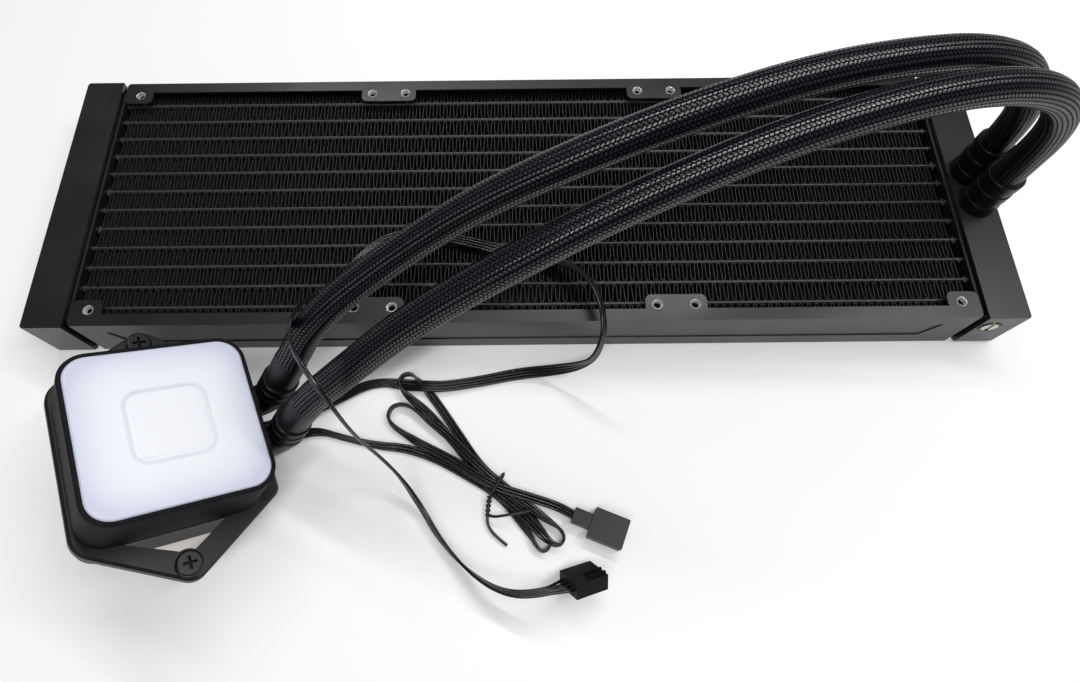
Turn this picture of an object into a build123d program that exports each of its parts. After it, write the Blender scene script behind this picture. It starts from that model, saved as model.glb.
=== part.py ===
from build123d import *
from math import pi, radians, sqrt, tan
import os

os.makedirs("parts", exist_ok=True)

# All in one liquid cooler for a processor: a flat radiator for three fans, two sleeved hoses,
# a pump head with its mounting bracket, a lighting cable tied in a hank and a pump power cable.
# Millimetres. The origin is the middle of the radiator's underside, +X runs along the radiator
# to the tank that carries the hoses, +Z is up, and the radiator lies flat on the ground.

# Radiator frame, as long and as wide as its row of fans
FAN_SIZE = 120.0
FAN_COUNT = 3
RADIATOR_HEIGHT = 27.0
TANK_LENGTH = 16.8
CORE_END_SPACE = 1.7
RADIATOR_WIDTH = FAN_SIZE
RADIATOR_LENGTH = FAN_COUNT * FAN_SIZE + 2 * (TANK_LENGTH + CORE_END_SPACE)
TANK_WALL = 1.6
TANK_EDGE_BEVEL = 1.4
TANK_TOP_ROUND = 1.0
HEADER_THICKNESS = 1.4
HEADER_INSET = 2.2
HEADER_CORNER = 3.0
TANK_TO_RAIL_GAP = 2.2

# Side rails, folded from sheet
RAIL_SET_IN = 0.7
RAIL_SHEET = 1.2
FLANGE_REACH = 5.0
TAB_REACH = 11.1
END_TAB_LENGTH = 12.5
PAIR_TAB_HALF_LENGTH = 12.2
TAB_ROUND = 2.6
RAIL_RECESS_FROM_END = 11.5
RAIL_RECESS_FROM_TOP = 7.5
RAIL_RECESS_BOTTOM = 8.0
RAIL_RECESS_DEPTH = 0.4
RAIL_RECESS_SLANT = 5.0

# Fan holes: square patterns in a row, on the top and on the underside
FAN_HOLE_FROM_EDGE = 7.5
FAN_HOLE_SPACING = FAN_SIZE - 2 * FAN_HOLE_FROM_EDGE
FAN_HOLE_RADIUS = 1.75
FAN_COLLAR_WALL = 0.85
FAN_COLLAR_DEPTH = 1.5

# Core: flat tubes with folded fins between them
TUBE_COUNT = 12
TUBE_THICKNESS = 2.0
TUBE_DEPTH = RADIATOR_HEIGHT - 8.0
TUBE_SHEET = 0.4
TUBE_IN_TANK = 1.5
FIN_DEPTH = TUBE_DEPTH - 0.6
FIN_SHEET = 0.35
FIN_WAVES = 26
FIN_END_MARGIN = 1.5

# Filler plug on the front of the hose tank
PLUG_FROM_END = 11.9
PLUG_FROM_TOP = 9.0
PLUG_HEAD_RADIUS = 4.0
PLUG_HEAD_PROUD = 0.3
PLUG_HEAD_THICKNESS = 1.0
PLUG_THREAD_RADIUS = 2.8
PLUG_THREAD_LENGTH = 3.4
PLUG_SLOT_WIDTH = 1.5
PLUG_SLOT_DEPTH = 0.7
PLUG_SEAL_SECTION = 0.5

# Hoses and their end fittings
HOSE_DIAMETER = 11.4
HOSE_BORE_RADIUS = 3.3
HOSE_FIRST_RUN = 21.5
HOSE_LAST_RUN = 27.0
FITTING_FROM_END = 8.5
FITTING_SPACING = 15.2
FITTING_FOOT_RADIUS = 7.4
FITTING_FOOT_HEIGHT = 1.6
FITTING_TAIL = 2.6
FERRULE_OUTER_RADIUS = 7.2
FERRULE_LENGTH = 19.9
FERRULE_FLOOR = 1.9
FERRULE_BEAD = 0.35
BARB_BORE_RADIUS = 2.3
BARB_RIDGE = 0.3
BARB_RIDGE_PITCH = 4.0
BARB_RIDGE_LAND = 0.8
BARB_STANDS_UP = 14.0
SOFT_CLEARANCE = 0.12

# Pump head: its frame sits in the middle of the light cap's face and leans against the hoses
PUMP_MIDDLE_X = -118.9
PUMP_BEFORE_EDGE = 43.9
PUMP_MIDDLE_Z = 52.9
PUMP_TILT = (-15.174, 30.012, 26.926)
HOUSING_SIDE = 60.0
CAP_CORNER = 8.0
CAP_INSET = 1.5
CAP_THICKNESS = 2.6
CAP_SKIRT = 1.8
CAP_EDGE_ROUND = 1.0
CAP_GROOVE_SIDE = 0.425 * HOUSING_SIDE
CAP_GROOVE_WIDTH = 1.5
CAP_GROOVE_CORNER = 5.0
CAP_GROOVE_DEPTH = 0.25
CAP_PROUD = 0.5
HOUSING_CORNER = 9.5
HOUSING_DEPTH = 21.8
HOUSING_WALL = 1.5
HOUSING_RIM_ROUND = 0.6
BODY_CLEARANCE = 0.3
BRACKET_GAP = 0.3
BRACKET_THICKNESS = 3.3
SKIRT_INSET = 0.6
SKIRT_CORNER = 8.5
SKIRT_HEIGHT = 14.6
COLD_PLATE_INSET = 3.0
COLD_PLATE_CORNER = 4.0
COLD_PLATE_THICKNESS = 3.9

# Pump ports and elbows
PORT_SPACING = 16.8
PORT_DEPTH = HOUSING_DEPTH - 6.3
ELBOW_REACH = HOUSING_SIDE / 2 + 9.6
ELBOW_RADIUS = 6.0
ELBOW_BEND = 6.6
SPIGOT_RADIUS = 4.2
SPIGOT_LENGTH = 5.0
SPIGOT_GROOVE = 0.9
SPIGOT_GROOVE_WIDTH = 1.6
SPIGOT_GROOVE_FROM_TIP = 1.2
PUMP_FERRULE_RADIUS = 6.8
PUMP_FERRULE_LENGTH = 10.8
PUMP_FERRULE_RIM = 2.3
PUMP_BARB_STANDS_UP = 8.0

# Mounting bracket, outline in the pump frame, set out from the housing's sides
BRACKET_LEFT = -HOUSING_SIDE / 2 - 1.5
BRACKET_RIGHT = HOUSING_SIDE / 2 + 6.5
BRACKET_LEFT_SHOULDER = HOUSING_SIDE / 2 - 1.0
BRACKET_RIGHT_SHOULDER = HOUSING_SIDE / 2 - 4.5
BRACKET_TIP = (2.1, HOUSING_SIDE / 2 + 18.9)
BRACKET_LEFT_ROUND = 9.0
BRACKET_RIGHT_ROUND = 4.5
BRACKET_TIP_ROUND = 6.0
BRACKET_BEVEL = 0.9
BRACKET_WINDOW_LEFT = (8.3 - HOUSING_SIDE / 2, HOUSING_SIDE / 2 - 2.0)
BRACKET_WINDOW_TIP = (2.3, HOUSING_SIDE / 2 + 8.9)
BRACKET_WINDOW_RIGHT = (HOUSING_SIDE / 2 - 11.1, HOUSING_SIDE / 2 - 2.0)
BRACKET_BOSS_RADIUS = 5.3
SCREW_X = 0.7
SCREW_Y = HOUSING_SIDE / 2 + 12.3
SCREW_HEAD_RADIUS = 4.4
SCREW_HEAD_HEIGHT = 2.2
SCREW_SHANK_RADIUS = 1.5
SCREW_NECK_RADIUS = 1.2
SCREW_LENGTH = 15.0
SCREW_HOLE_RADIUS = 1.8
SCREW_CROSS_WIDTH = 1.0
SCREW_CROSS_SPAN = 4.6
SCREW_CROSS_DEPTH = 1.2
RETAINER_RADIUS = 3.6
RETAINER_THICKNESS = 0.8
RETAINER_TO_THREAD = 0.4

# Inside the pump head: radii step in from the housing, depths step up from the cold plate
BOARD_THICKNESS = 1.6
BOARD_TOP = 4.6
BOARD_SIDE_GAP = 1.2
LEDGE_THICKNESS = 1.2
LED_COUNT = 6
LED_FROM_CAP_EDGE = 11.5
LED_SIDE = 3.0
LED_HEIGHT = 1.0
WELL_WALL = 6.4
STATOR_UNDER_BOARD = 2.2
STATOR_ABOVE_WELL_FLOOR = 4.6
STATOR_GAP = 0.8
STATOR_YOKE = 2.4
STATOR_WIDTH = HOUSING_SIDE / 8
STATOR_LEDGE = 1.8
STATOR_POLES = 4
STATOR_POLE_WIDTH = 4.6
STATOR_POLE_IN_YOKE = 1.0
STATOR_SHOE_WIDTH = 9.0
STATOR_SHOE_DEPTH = 1.6
COIL_THICKNESS = 1.7
COIL_CLEARANCE = 0.1
CAN_GAP = 0.3
CAN_WALL = 1.0
CAN_UNDER_BOARD = 0.8
CHAMBER_WALL = HOUSING_SIDE / 6
CHAMBER_HEIGHT = 8.6
CHAMBER_ROOF_THICKNESS = 2.4
CHANNEL_DEPTH = 8.0
SHAFT_RADIUS = 1.2
RUNNING_FIT = 0.05
THRUST_GAP = 0.3
SHAFT_BOSS_HEIGHT = 1.5
SHAFT_BOSS_WALL = 1.2
ROTOR_GAP = 0.6
ROTOR_UNDER_BOSS = 1.3
MAGNET_WALL = 2.4
IMPELLER_HUB_RADIUS = 3.6
IMPELLER_GAP = 2.0
IMPELLER_UNDER_ROOF = 1.0
IMPELLER_DISC_THICKNESS = 1.4
IMPELLER_BLADE_HEIGHT = 4.6
IMPELLER_BLADE_WIDTH = 1.2
IMPELLER_BLADES = 7
BUSHING_RADIUS = 2.4
BUSHING_LENGTH = 3.0
CHANNEL_PLATE_THICKNESS = 1.6
CHANNEL_SEAT_WALL = 2.0
CHANNEL_SKIRT_WALL = 1.5
CHANNEL_CLEARANCE = 0.1
EYE_HOLES = 4
EYE_HOLE_RADIUS = 1.5
EYE_CIRCLE = 4.6
MICRO_FIN_COUNT = 11
MICRO_FIN_SHARE = 0.45
MICRO_FIN_SIDE_GAP = 0.6
MICRO_FIN_HEIGHT = 6.0
GASKET_OUT = CHAMBER_WALL / 2
GASKET_SECTION = 1.6
PLATE_SCREW_COUNT = 8
PLATE_SCREW_OUT = 0.86 * CHAMBER_WALL
PLATE_SCREW_HEAD_RADIUS = 1.9
PLATE_SCREW_SHANK_RADIUS = 1.0
PLATE_SCREW_LENGTH = 8.0
GROMMET_UNDER_BRACKET = 4.6
GROMMET_WIDTH = 12.6
GROMMET_HEIGHT = 6.2
GROMMET_PROUD = 1.6
GROMMET_PLUG_DEPTH = 3.4
GROMMET_LIP = 0.8

# Cables: flat ribbons, given by their width
PUMP_CABLE_WIDTH = 4.8
LIGHT_CABLE_WIDTH = 3.6
CABLE_EXIT_SPREAD = 2.7
CABLE_FIRST_RUN = 9.0
HANK_HEIGHT = 4.6
HANK_OUTLET = ((-5.86, -60.45), (-4.14, -56.8))
TAIL_FIRST_RUN = 8.8
TAIL_LAST_RUN = 8.0
TIE_CENTRE = (-11.3, -58)
TIE_TURN = 59.7
TIE_WIRE = 1.6
TIE_LOOP_WIDTH = 11.5
TIE_TWIST_RADIUS = 1.3
TIE_TAIL_BEND = 2.0

# Plugs on the cables
LIGHT_PLUG_SIZE = (13.6, 11.5, 6.4)
LIGHT_PLUG_CENTRE = (30.7, -74.7)
LIGHT_PLUG_TURN = -22.0
LIGHT_PLUG_NECK = (7.2, 5.8, 5.0)
LIGHT_PLUG_ROUND = 0.5
POWER_PLUG_SIZE = (13.5, 11.2, 5.7)
POWER_PLUG_CORNER = (17.1, -94.7, 17.2)
POWER_PLUG_ALONG = (0.874, 0.267, -0.415)
POWER_PLUG_UP = (0, 0.84, 0.54)
POWER_PLUG_FLOOR = 1.5
POWER_PLUG_LAST_RUN = 12.0
POWER_PLUG_WAYS = 4
POWER_PLUG_WAY_PITCH = 2.54
POWER_PLUG_WAY_SIDE = 1.7
POWER_PLUG_RIB = (7.0, 0.9, 0.8)
CONTACT_SIDE = 1.3
CONTACT_LENGTH = 9.0

# Small gap that keeps cords off the ground
GROUND_CLEARANCE = 0.2

half_length = RADIATOR_LENGTH / 2
half_width = RADIATOR_WIDTH / 2
tank_inner_x = half_length - TANK_LENGTH
rail_end_x = tank_inner_x - TANK_TO_RAIL_GAP
rail_outer_y = half_width - RAIL_SET_IN
rail_inner_y = rail_outer_y - RAIL_SHEET
recess_end_x = rail_end_x - RAIL_RECESS_FROM_END
core_z = RADIATOR_HEIGHT / 2
header_inner_x = tank_inner_x - HEADER_THICKNESS
fitting_x = half_length - FITTING_FROM_END
plug_x = half_length - PLUG_FROM_END
plug_z = RADIATOR_HEIGHT - PLUG_FROM_TOP
fan_middle_x = [(n - (FAN_COUNT - 1) / 2) * FAN_SIZE for n in range(FAN_COUNT)]
fan_hole_x = [x + s * FAN_HOLE_SPACING / 2 for x in fan_middle_x for s in (-1, 1)]
pair_tab_x = [x + FAN_SIZE / 2 for x in fan_middle_x[:-1]]
tube_pitch = TUBE_THICKNESS + (2 * rail_inner_y - TUBE_COUNT * TUBE_THICKNESS) / (TUBE_COUNT + 1)
tube_y = [(n - (TUBE_COUNT - 1) / 2) * tube_pitch for n in range(TUBE_COUNT)]

# Hand-chosen places of the cords are measured from the middle of the radiator's front edge
ground = Plane(origin=(0, -half_width, 0))

# The pump head stands before the radiator's front edge, and its frame follows its tilt
pump = Plane(Location((PUMP_MIDDLE_X, -half_width - PUMP_BEFORE_EDGE, PUMP_MIDDLE_Z), PUMP_TILT))
cap_side = HOUSING_SIDE - 2 * CAP_INSET
skirt_side = HOUSING_SIDE - 2 * SKIRT_INSET
cold_plate_side = HOUSING_SIDE - 2 * COLD_PLATE_INSET
block_side = HOUSING_SIDE - 2 * HOUSING_WALL - 2 * BODY_CLEARANCE
block_corner = HOUSING_CORNER - HOUSING_WALL - BODY_CLEARANCE
bracket_top = HOUSING_DEPTH + BRACKET_GAP
bracket_bottom = bracket_top + BRACKET_THICKNESS
skirt_bottom = bracket_bottom + SKIRT_HEIGHT
plate_bottom = skirt_bottom + COLD_PLATE_THICKNESS
board_bottom = BOARD_TOP + BOARD_THICKNESS
block_top = board_bottom + LEDGE_THICKNESS + BODY_CLEARANCE
chamber_floor = skirt_bottom - CHANNEL_DEPTH
chamber_roof = chamber_floor - CHAMBER_HEIGHT
well_floor = chamber_roof - CHAMBER_ROOF_THICKNESS
stator_top = board_bottom + STATOR_UNDER_BOARD
stator_bottom = well_floor - STATOR_ABOVE_WELL_FLOOR
can_top = board_bottom + CAN_UNDER_BOARD
shaft_top = can_top + CAN_WALL
rotor_top = shaft_top + SHAFT_BOSS_HEIGHT + ROTOR_UNDER_BOSS
disc_top = chamber_roof + IMPELLER_UNDER_ROOF
well_radius = block_side / 2 - WELL_WALL
stator_outer = well_radius - STATOR_GAP
stator_inner = stator_outer - STATOR_WIDTH
can_outer = stator_inner - CAN_GAP
rotor_radius = can_outer - CAN_WALL - ROTOR_GAP
chamber_radius = cold_plate_side / 2 - CHAMBER_WALL
impeller_radius = chamber_radius - IMPELLER_GAP
channel_seat_radius = chamber_radius + CHANNEL_SEAT_WALL
gasket_radius = chamber_radius + GASKET_OUT
plate_screw_circle = chamber_radius + PLATE_SCREW_OUT
grommet_depth = bracket_bottom + GROMMET_UNDER_BRACKET
elbow_shoulder_x = block_side / 2
pump_ferrule_base = PUMP_FERRULE_RIM - PUMP_FERRULE_LENGTH


def finish(builder, name):
    """Name a finished piece and write it."""
    builder.part.label = name
    export_step(builder.part, f"parts/{name}.step")


def pump_level(depth):
    """A plane across the pump head, this far below the cap's face."""
    return pump.offset(-depth)


def pump_side(x, y, z):
    """A plane that looks out of the pump head's hose side at a point of its frame."""
    return Plane(origin=pump.from_local_coords((x, y, z)), x_dir=pump.y_dir, z_dir=pump.x_dir)


def pump_point(x, y, z):
    return pump.from_local_coords((x, y, z))


def rounded_path(points):
    """Straight runs joined by arcs as large as the runs allow; gives the wire's radii too."""
    places = [Vector(p) for p in points]
    radii = []
    for before, corner, after in zip(places, places[1:], places[2:]):
        arrive = corner - before
        leave = after - corner
        turn = arrive.get_angle(leave)
        shorter = min(arrive.length, leave.length)
        radii.append(0.45 * shorter / tan(radians(turn / 2)))
    return places, radii


def print_cord(name, places, radii, diameter, part):
    """Tell the tightest bend, the length and how well the volume fits them."""
    with BuildLine() as line:
        FilletPolyline(*places, radius=radii)
    length = sum(edge.length for edge in line.edges())
    section = pi * diameter ** 2 / 4
    print(f"{name}: length {length:.0f} mm, tightest {min(radii):.1f} mm,",
          f"volume / (section x length) {part.volume / (section * length):.3f}")


# Tanks: a pressed box at each end, open towards the core
def tank(side):
    """One end tank; side is -1 at the plain end and 1 at the hose end."""
    with BuildPart() as box:
        with BuildSketch(Plane.XY):
            with Locations((side * (tank_inner_x + TANK_LENGTH / 2), 0)):
                Rectangle(TANK_LENGTH, RADIATOR_WIDTH)
        extrude(amount=RADIATOR_HEIGHT)
        mouth = box.faces().sort_by(Axis.X)[0 if side > 0 else -1]
        offset(amount=-TANK_WALL, openings=mouth)
        outer = box.faces().sort_by(Axis.X)[-1 if side > 0 else 0]
        bottom = box.faces().sort_by(Axis.Z)[0]
        low = bottom.edges().filter_by(Axis.X) + outer.edges().filter_by(Axis.Z)
        chamfer(low, TANK_EDGE_BEVEL)
        top = box.faces().sort_by(Axis.Z)[-1]
        fillet(top.edges().sort_by(Axis.X)[-1 if side > 0 else 0], TANK_TOP_ROUND)
        if side > 0:
            with Locations(Plane.XY.offset(RADIATOR_HEIGHT)):
                with Locations(*[(fitting_x, s * FITTING_SPACING / 2) for s in (-1, 1)]):
                    Hole(HOSE_BORE_RADIUS, depth=2 * TANK_WALL)
            front = Plane(origin=(plug_x, -half_width, plug_z), x_dir=(1, 0, 0), z_dir=(0, -1, 0))
            with Locations(front):
                CounterBoreHole(PLUG_THREAD_RADIUS, PLUG_HEAD_RADIUS + PLUG_SEAL_SECTION,
                                PLUG_HEAD_THICKNESS - PLUG_HEAD_PROUD, depth=2 * TANK_WALL)
    return box


finish(tank(-1), "left_tank")
finish(tank(1), "right_tank")


# Header plates close the tanks and carry the tubes
def header(side):
    start = tank_inner_x if side < 0 else header_inner_x
    plane = Plane(origin=(side * header_inner_x if side > 0 else -tank_inner_x, 0, core_z),
                  x_dir=(0, 1, 0), z_dir=(1, 0, 0))
    with BuildPart() as plate:
        with BuildSketch(plane):
            RectangleRounded(RADIATOR_WIDTH - 2 * HEADER_INSET, RADIATOR_HEIGHT - 2 * HEADER_INSET,
                             HEADER_CORNER)
            with Locations(*[(y, 0) for y in tube_y]):
                SlotOverall(TUBE_DEPTH, TUBE_THICKNESS, rotation=90, mode=Mode.SUBTRACT)
        extrude(amount=HEADER_THICKNESS)
    return plate


finish(header(-1), "left_header")
finish(header(1), "right_header")

# Flat tubes run from tank to tank
tube_plane = Plane(origin=(-tank_inner_x - TUBE_IN_TANK, 0, core_z), x_dir=(0, 1, 0), z_dir=(1, 0, 0))
with BuildPart() as flat_tubes:
    with BuildSketch(tube_plane):
        with Locations(*[(y, 0) for y in tube_y]):
            SlotOverall(TUBE_DEPTH, TUBE_THICKNESS, rotation=90)
            SlotOverall(TUBE_DEPTH - 2 * TUBE_SHEET, TUBE_THICKNESS - 2 * TUBE_SHEET, rotation=90,
                        mode=Mode.SUBTRACT)
    extrude(amount=2 * (tank_inner_x + TUBE_IN_TANK))
finish(flat_tubes, "flat_tubes")


# Folded fins: one strip in each gap, its folds lying on the tubes
def fin_outline(low, high, length):
    """The closed outline of one folded strip between two walls."""
    pitch = length / FIN_WAVES
    flat = FIN_SHEET
    points = [(-length / 2, low)]
    for n in range(FIN_WAVES):
        x = -length / 2 + n * pitch
        points.append((x + pitch / 2, high))
        if n < FIN_WAVES - 1:
            points.append((x + pitch, low + FIN_SHEET))
    points.append((length / 2, low))
    back = []
    for n in range(FIN_WAVES):
        x = -length / 2 + n * pitch
        back.append((x + pitch / 2, high - FIN_SHEET))
        if n < FIN_WAVES - 1:
            back.append((x + pitch, low))
    return points + back[::-1]


fin_length = 2 * (rail_end_x - FIN_END_MARGIN)
fin_gaps = []
edges_y = [-rail_inner_y] + [y for t in tube_y for y in (t - TUBE_THICKNESS / 2, t + TUBE_THICKNESS / 2)]
edges_y = edges_y + [rail_inner_y]
for low, high in zip(edges_y[::2], edges_y[1::2]):
    fin_gaps.append((low, high))
with BuildPart() as fin_strips:
    with BuildSketch(Plane.XY.offset(core_z - FIN_DEPTH / 2)):
        for low, high in fin_gaps:
            with BuildLine():
                Polyline(*fin_outline(low, high, fin_length), close=True)
            make_face()
    extrude(amount=FIN_DEPTH)
finish(fin_strips, "fin_strips")


# Side rails: a folded channel with tabs for the fan screws
def rail(side):
    """One side rail; side is -1 at the front and 1 at the rear."""
    with BuildPart() as channel:
        with BuildSketch(Plane.XY):
            with Locations((0, side * (rail_outer_y - FLANGE_REACH / 2))):
                Rectangle(2 * rail_end_x, FLANGE_REACH)
            with Locations(*[(s * (rail_end_x - END_TAB_LENGTH / 2), side * (rail_outer_y - TAB_REACH / 2))
                             for s in (-1, 1)]):
                Rectangle(END_TAB_LENGTH, TAB_REACH)
            with Locations(*[(x, side * (rail_outer_y - TAB_REACH / 2)) for x in pair_tab_x]):
                Rectangle(2 * PAIR_TAB_HALF_LENGTH, TAB_REACH)
        extrude(amount=RADIATOR_HEIGHT)
        inner_y = side * (rail_inner_y - TAB_REACH)
        with BuildSketch(Plane.XY.offset(RAIL_SHEET)):
            with Locations((0, inner_y)):
                Rectangle(2 * rail_end_x + 2, 2 * TAB_REACH)
        extrude(amount=RADIATOR_HEIGHT - 2 * RAIL_SHEET, mode=Mode.SUBTRACT)
        tab_y = side * (rail_outer_y - TAB_REACH)
        tips = channel.edges().filter_by(Axis.Z).filter_by(lambda e: abs(e.center().Y - tab_y) < 0.1)
        fillet(tips, TAB_ROUND)
        outer = channel.faces().sort_by(Axis.Y)[0 if side < 0 else -1]
        chamfer(outer.edges().filter_by(Axis.Z), RAIL_SHEET * 0.8)
        hole_places = [(x, side * FAN_HOLE_SPACING / 2) for x in fan_hole_x]
        collar_radius = FAN_HOLE_RADIUS + FAN_COLLAR_WALL
        for height, depth in ((RAIL_SHEET, FAN_COLLAR_DEPTH),
                              (RADIATOR_HEIGHT - RAIL_SHEET - FAN_COLLAR_DEPTH, FAN_COLLAR_DEPTH)):
            with BuildSketch(Plane.XY.offset(height)):
                with Locations(*hole_places):
                    Circle(collar_radius)
            extrude(amount=depth)
        with BuildSketch(Plane.XY):
            with Locations(*hole_places):
                Circle(FAN_HOLE_RADIUS)
        extrude(amount=RADIATOR_HEIGHT, mode=Mode.SUBTRACT)
        face = Plane(origin=(0, side * rail_outer_y, 0), x_dir=(1, 0, 0), z_dir=(0, side, 0))
        up = face.to_local_coords(Vector(0, side * rail_outer_y, 1)).Y
        slant = RAIL_RECESS_SLANT
        with BuildSketch(face):
            with BuildLine():
                Polyline((-recess_end_x, up * (RADIATOR_HEIGHT - RAIL_RECESS_FROM_TOP)),
                         (recess_end_x, up * (RADIATOR_HEIGHT - RAIL_RECESS_FROM_TOP)),
                         (recess_end_x - slant, up * RAIL_RECESS_BOTTOM),
                         (-recess_end_x + slant, up * RAIL_RECESS_BOTTOM), close=True)
            make_face()
        extrude(amount=-RAIL_RECESS_DEPTH, mode=Mode.SUBTRACT)
    return channel


finish(rail(-1), "front_rail")
finish(rail(1), "rear_rail")

# Filler plug with its seal
plug_seat = Plane(origin=(plug_x, -half_width - PLUG_HEAD_PROUD, plug_z), x_dir=(1, 0, 0), z_dir=(0, -1, 0))
with BuildPart() as fill_plug:
    with BuildSketch(plug_seat):
        Circle(PLUG_HEAD_RADIUS)
    extrude(amount=-PLUG_HEAD_THICKNESS)
    with BuildSketch(plug_seat.offset(-PLUG_HEAD_THICKNESS)):
        Circle(PLUG_THREAD_RADIUS)
    extrude(amount=-PLUG_THREAD_LENGTH)
    with BuildSketch(plug_seat):
        Rectangle(PLUG_SLOT_WIDTH, 2 * PLUG_HEAD_RADIUS + 1)
    extrude(amount=-PLUG_SLOT_DEPTH, mode=Mode.SUBTRACT)
finish(fill_plug, "fill_plug")
with BuildPart() as plug_seal:
    with BuildSketch(plug_seat.offset(-PLUG_HEAD_PROUD)):
        Circle(PLUG_HEAD_RADIUS + PLUG_SEAL_SECTION)
        Circle(PLUG_HEAD_RADIUS, mode=Mode.SUBTRACT)
    extrude(amount=-(PLUG_HEAD_THICKNESS - PLUG_HEAD_PROUD))
finish(plug_seal, "plug_seal")


# Hose end fittings: a barb that the hose is pushed on, and a crimped ferrule round it
def barb_outline(root, stands_up):
    """The half section of a ridged barb that leaves its foot at this height, from its bore outwards."""
    tube = HOSE_BORE_RADIUS
    seat = root + FERRULE_FLOOR
    points = [(BARB_BORE_RADIUS, root), (tube, root)]
    ridge = seat + BARB_RIDGE_LAND
    while ridge + BARB_RIDGE_PITCH < seat + stands_up:
        points += [(tube, ridge), (tube - BARB_RIDGE, ridge)]
        points += [(tube, ridge + BARB_RIDGE_PITCH - BARB_RIDGE_LAND)]
        ridge += BARB_RIDGE_PITCH
    points += [(tube, seat + stands_up - BARB_RIDGE_LAND), (tube - BARB_RIDGE, seat + stands_up)]
    return points + [(BARB_BORE_RADIUS, seat + stands_up)]


def radiator_fitting(side):
    frame = Plane(origin=(fitting_x, side * FITTING_SPACING / 2, RADIATOR_HEIGHT))
    section = Plane(origin=frame.origin, x_dir=(1, 0, 0), z_dir=(0, -1, 0))
    with BuildPart() as barb:
        with BuildSketch(section):
            with BuildLine():
                Polyline((BARB_BORE_RADIUS, -FITTING_TAIL), (HOSE_BORE_RADIUS, -FITTING_TAIL),
                         (HOSE_BORE_RADIUS, 0), (FITTING_FOOT_RADIUS, 0),
                         (FITTING_FOOT_RADIUS, FITTING_FOOT_HEIGHT),
                         *barb_outline(FITTING_FOOT_HEIGHT, BARB_STANDS_UP)[1:], close=True)
            make_face()
        revolve(axis=Axis(frame.origin, (0, 0, 1)))
    return barb


def ferrule_outline(outer, length):
    """The half section of a ferrule cup standing on z = 0, with two crimped waists."""
    inner = HOSE_DIAMETER / 2 + SOFT_CLEARANCE
    waist = outer - FERRULE_BEAD
    crimp = length / 5
    return [(HOSE_BORE_RADIUS, 0), (outer - 0.5, 0), (outer, 0.5), (outer, crimp), (waist, crimp + 0.4),
            (waist, 2 * crimp - 0.4), (outer, 2 * crimp), (outer, 3 * crimp), (waist, 3 * crimp + 0.4),
            (waist, 4 * crimp - 0.4), (outer, 4 * crimp), (outer, length - 0.4), (outer - 0.4, length),
            (inner, length), (inner, FERRULE_FLOOR), (HOSE_BORE_RADIUS, FERRULE_FLOOR)]


def radiator_ferrule(side):
    base = Vector(fitting_x, side * FITTING_SPACING / 2, RADIATOR_HEIGHT + FITTING_FOOT_HEIGHT)
    with BuildPart() as cup:
        with BuildSketch(Plane(origin=base, x_dir=(1, 0, 0), z_dir=(0, -1, 0))):
            with BuildLine():
                Polyline(*ferrule_outline(FERRULE_OUTER_RADIUS, FERRULE_LENGTH), close=True)
            make_face()
        revolve(axis=Axis(base, (0, 0, 1)))
    return cup


for name, side in (("front", -1), ("rear", 1)):
    finish(radiator_fitting(side), f"{name}_radiator_fitting")
    finish(radiator_ferrule(side), f"{name}_radiator_ferrule")

# Pump head, from the top down. The light cap carries one plain ring
with BuildPart() as light_cap:
    with BuildSketch(pump_level(CAP_THICKNESS)):
        RectangleRounded(cap_side, cap_side, CAP_CORNER)
    extrude(amount=CAP_THICKNESS)
    fillet(light_cap.faces().sort_by(Axis(pump.origin, pump.z_dir))[-1].edges(), CAP_EDGE_ROUND)
    with BuildSketch(pump_level(CAP_THICKNESS)):
        RectangleRounded(cap_side - 2 * CAP_SKIRT, cap_side - 2 * CAP_SKIRT, CAP_CORNER - CAP_SKIRT)
        RectangleRounded(cap_side - 4 * CAP_SKIRT, cap_side - 4 * CAP_SKIRT, CAP_CORNER - 2 * CAP_SKIRT,
                         mode=Mode.SUBTRACT)
    extrude(amount=-(BOARD_TOP - CAP_THICKNESS))
    with BuildSketch(pump_level(0)):
        RectangleRounded(CAP_GROOVE_SIDE, CAP_GROOVE_SIDE, CAP_GROOVE_CORNER)
        RectangleRounded(CAP_GROOVE_SIDE - 2 * CAP_GROOVE_WIDTH, CAP_GROOVE_SIDE - 2 * CAP_GROOVE_WIDTH,
                         CAP_GROOVE_CORNER - CAP_GROOVE_WIDTH, mode=Mode.SUBTRACT)
    extrude(amount=-CAP_GROOVE_DEPTH, mode=Mode.SUBTRACT)
finish(light_cap, "light_cap")

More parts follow.
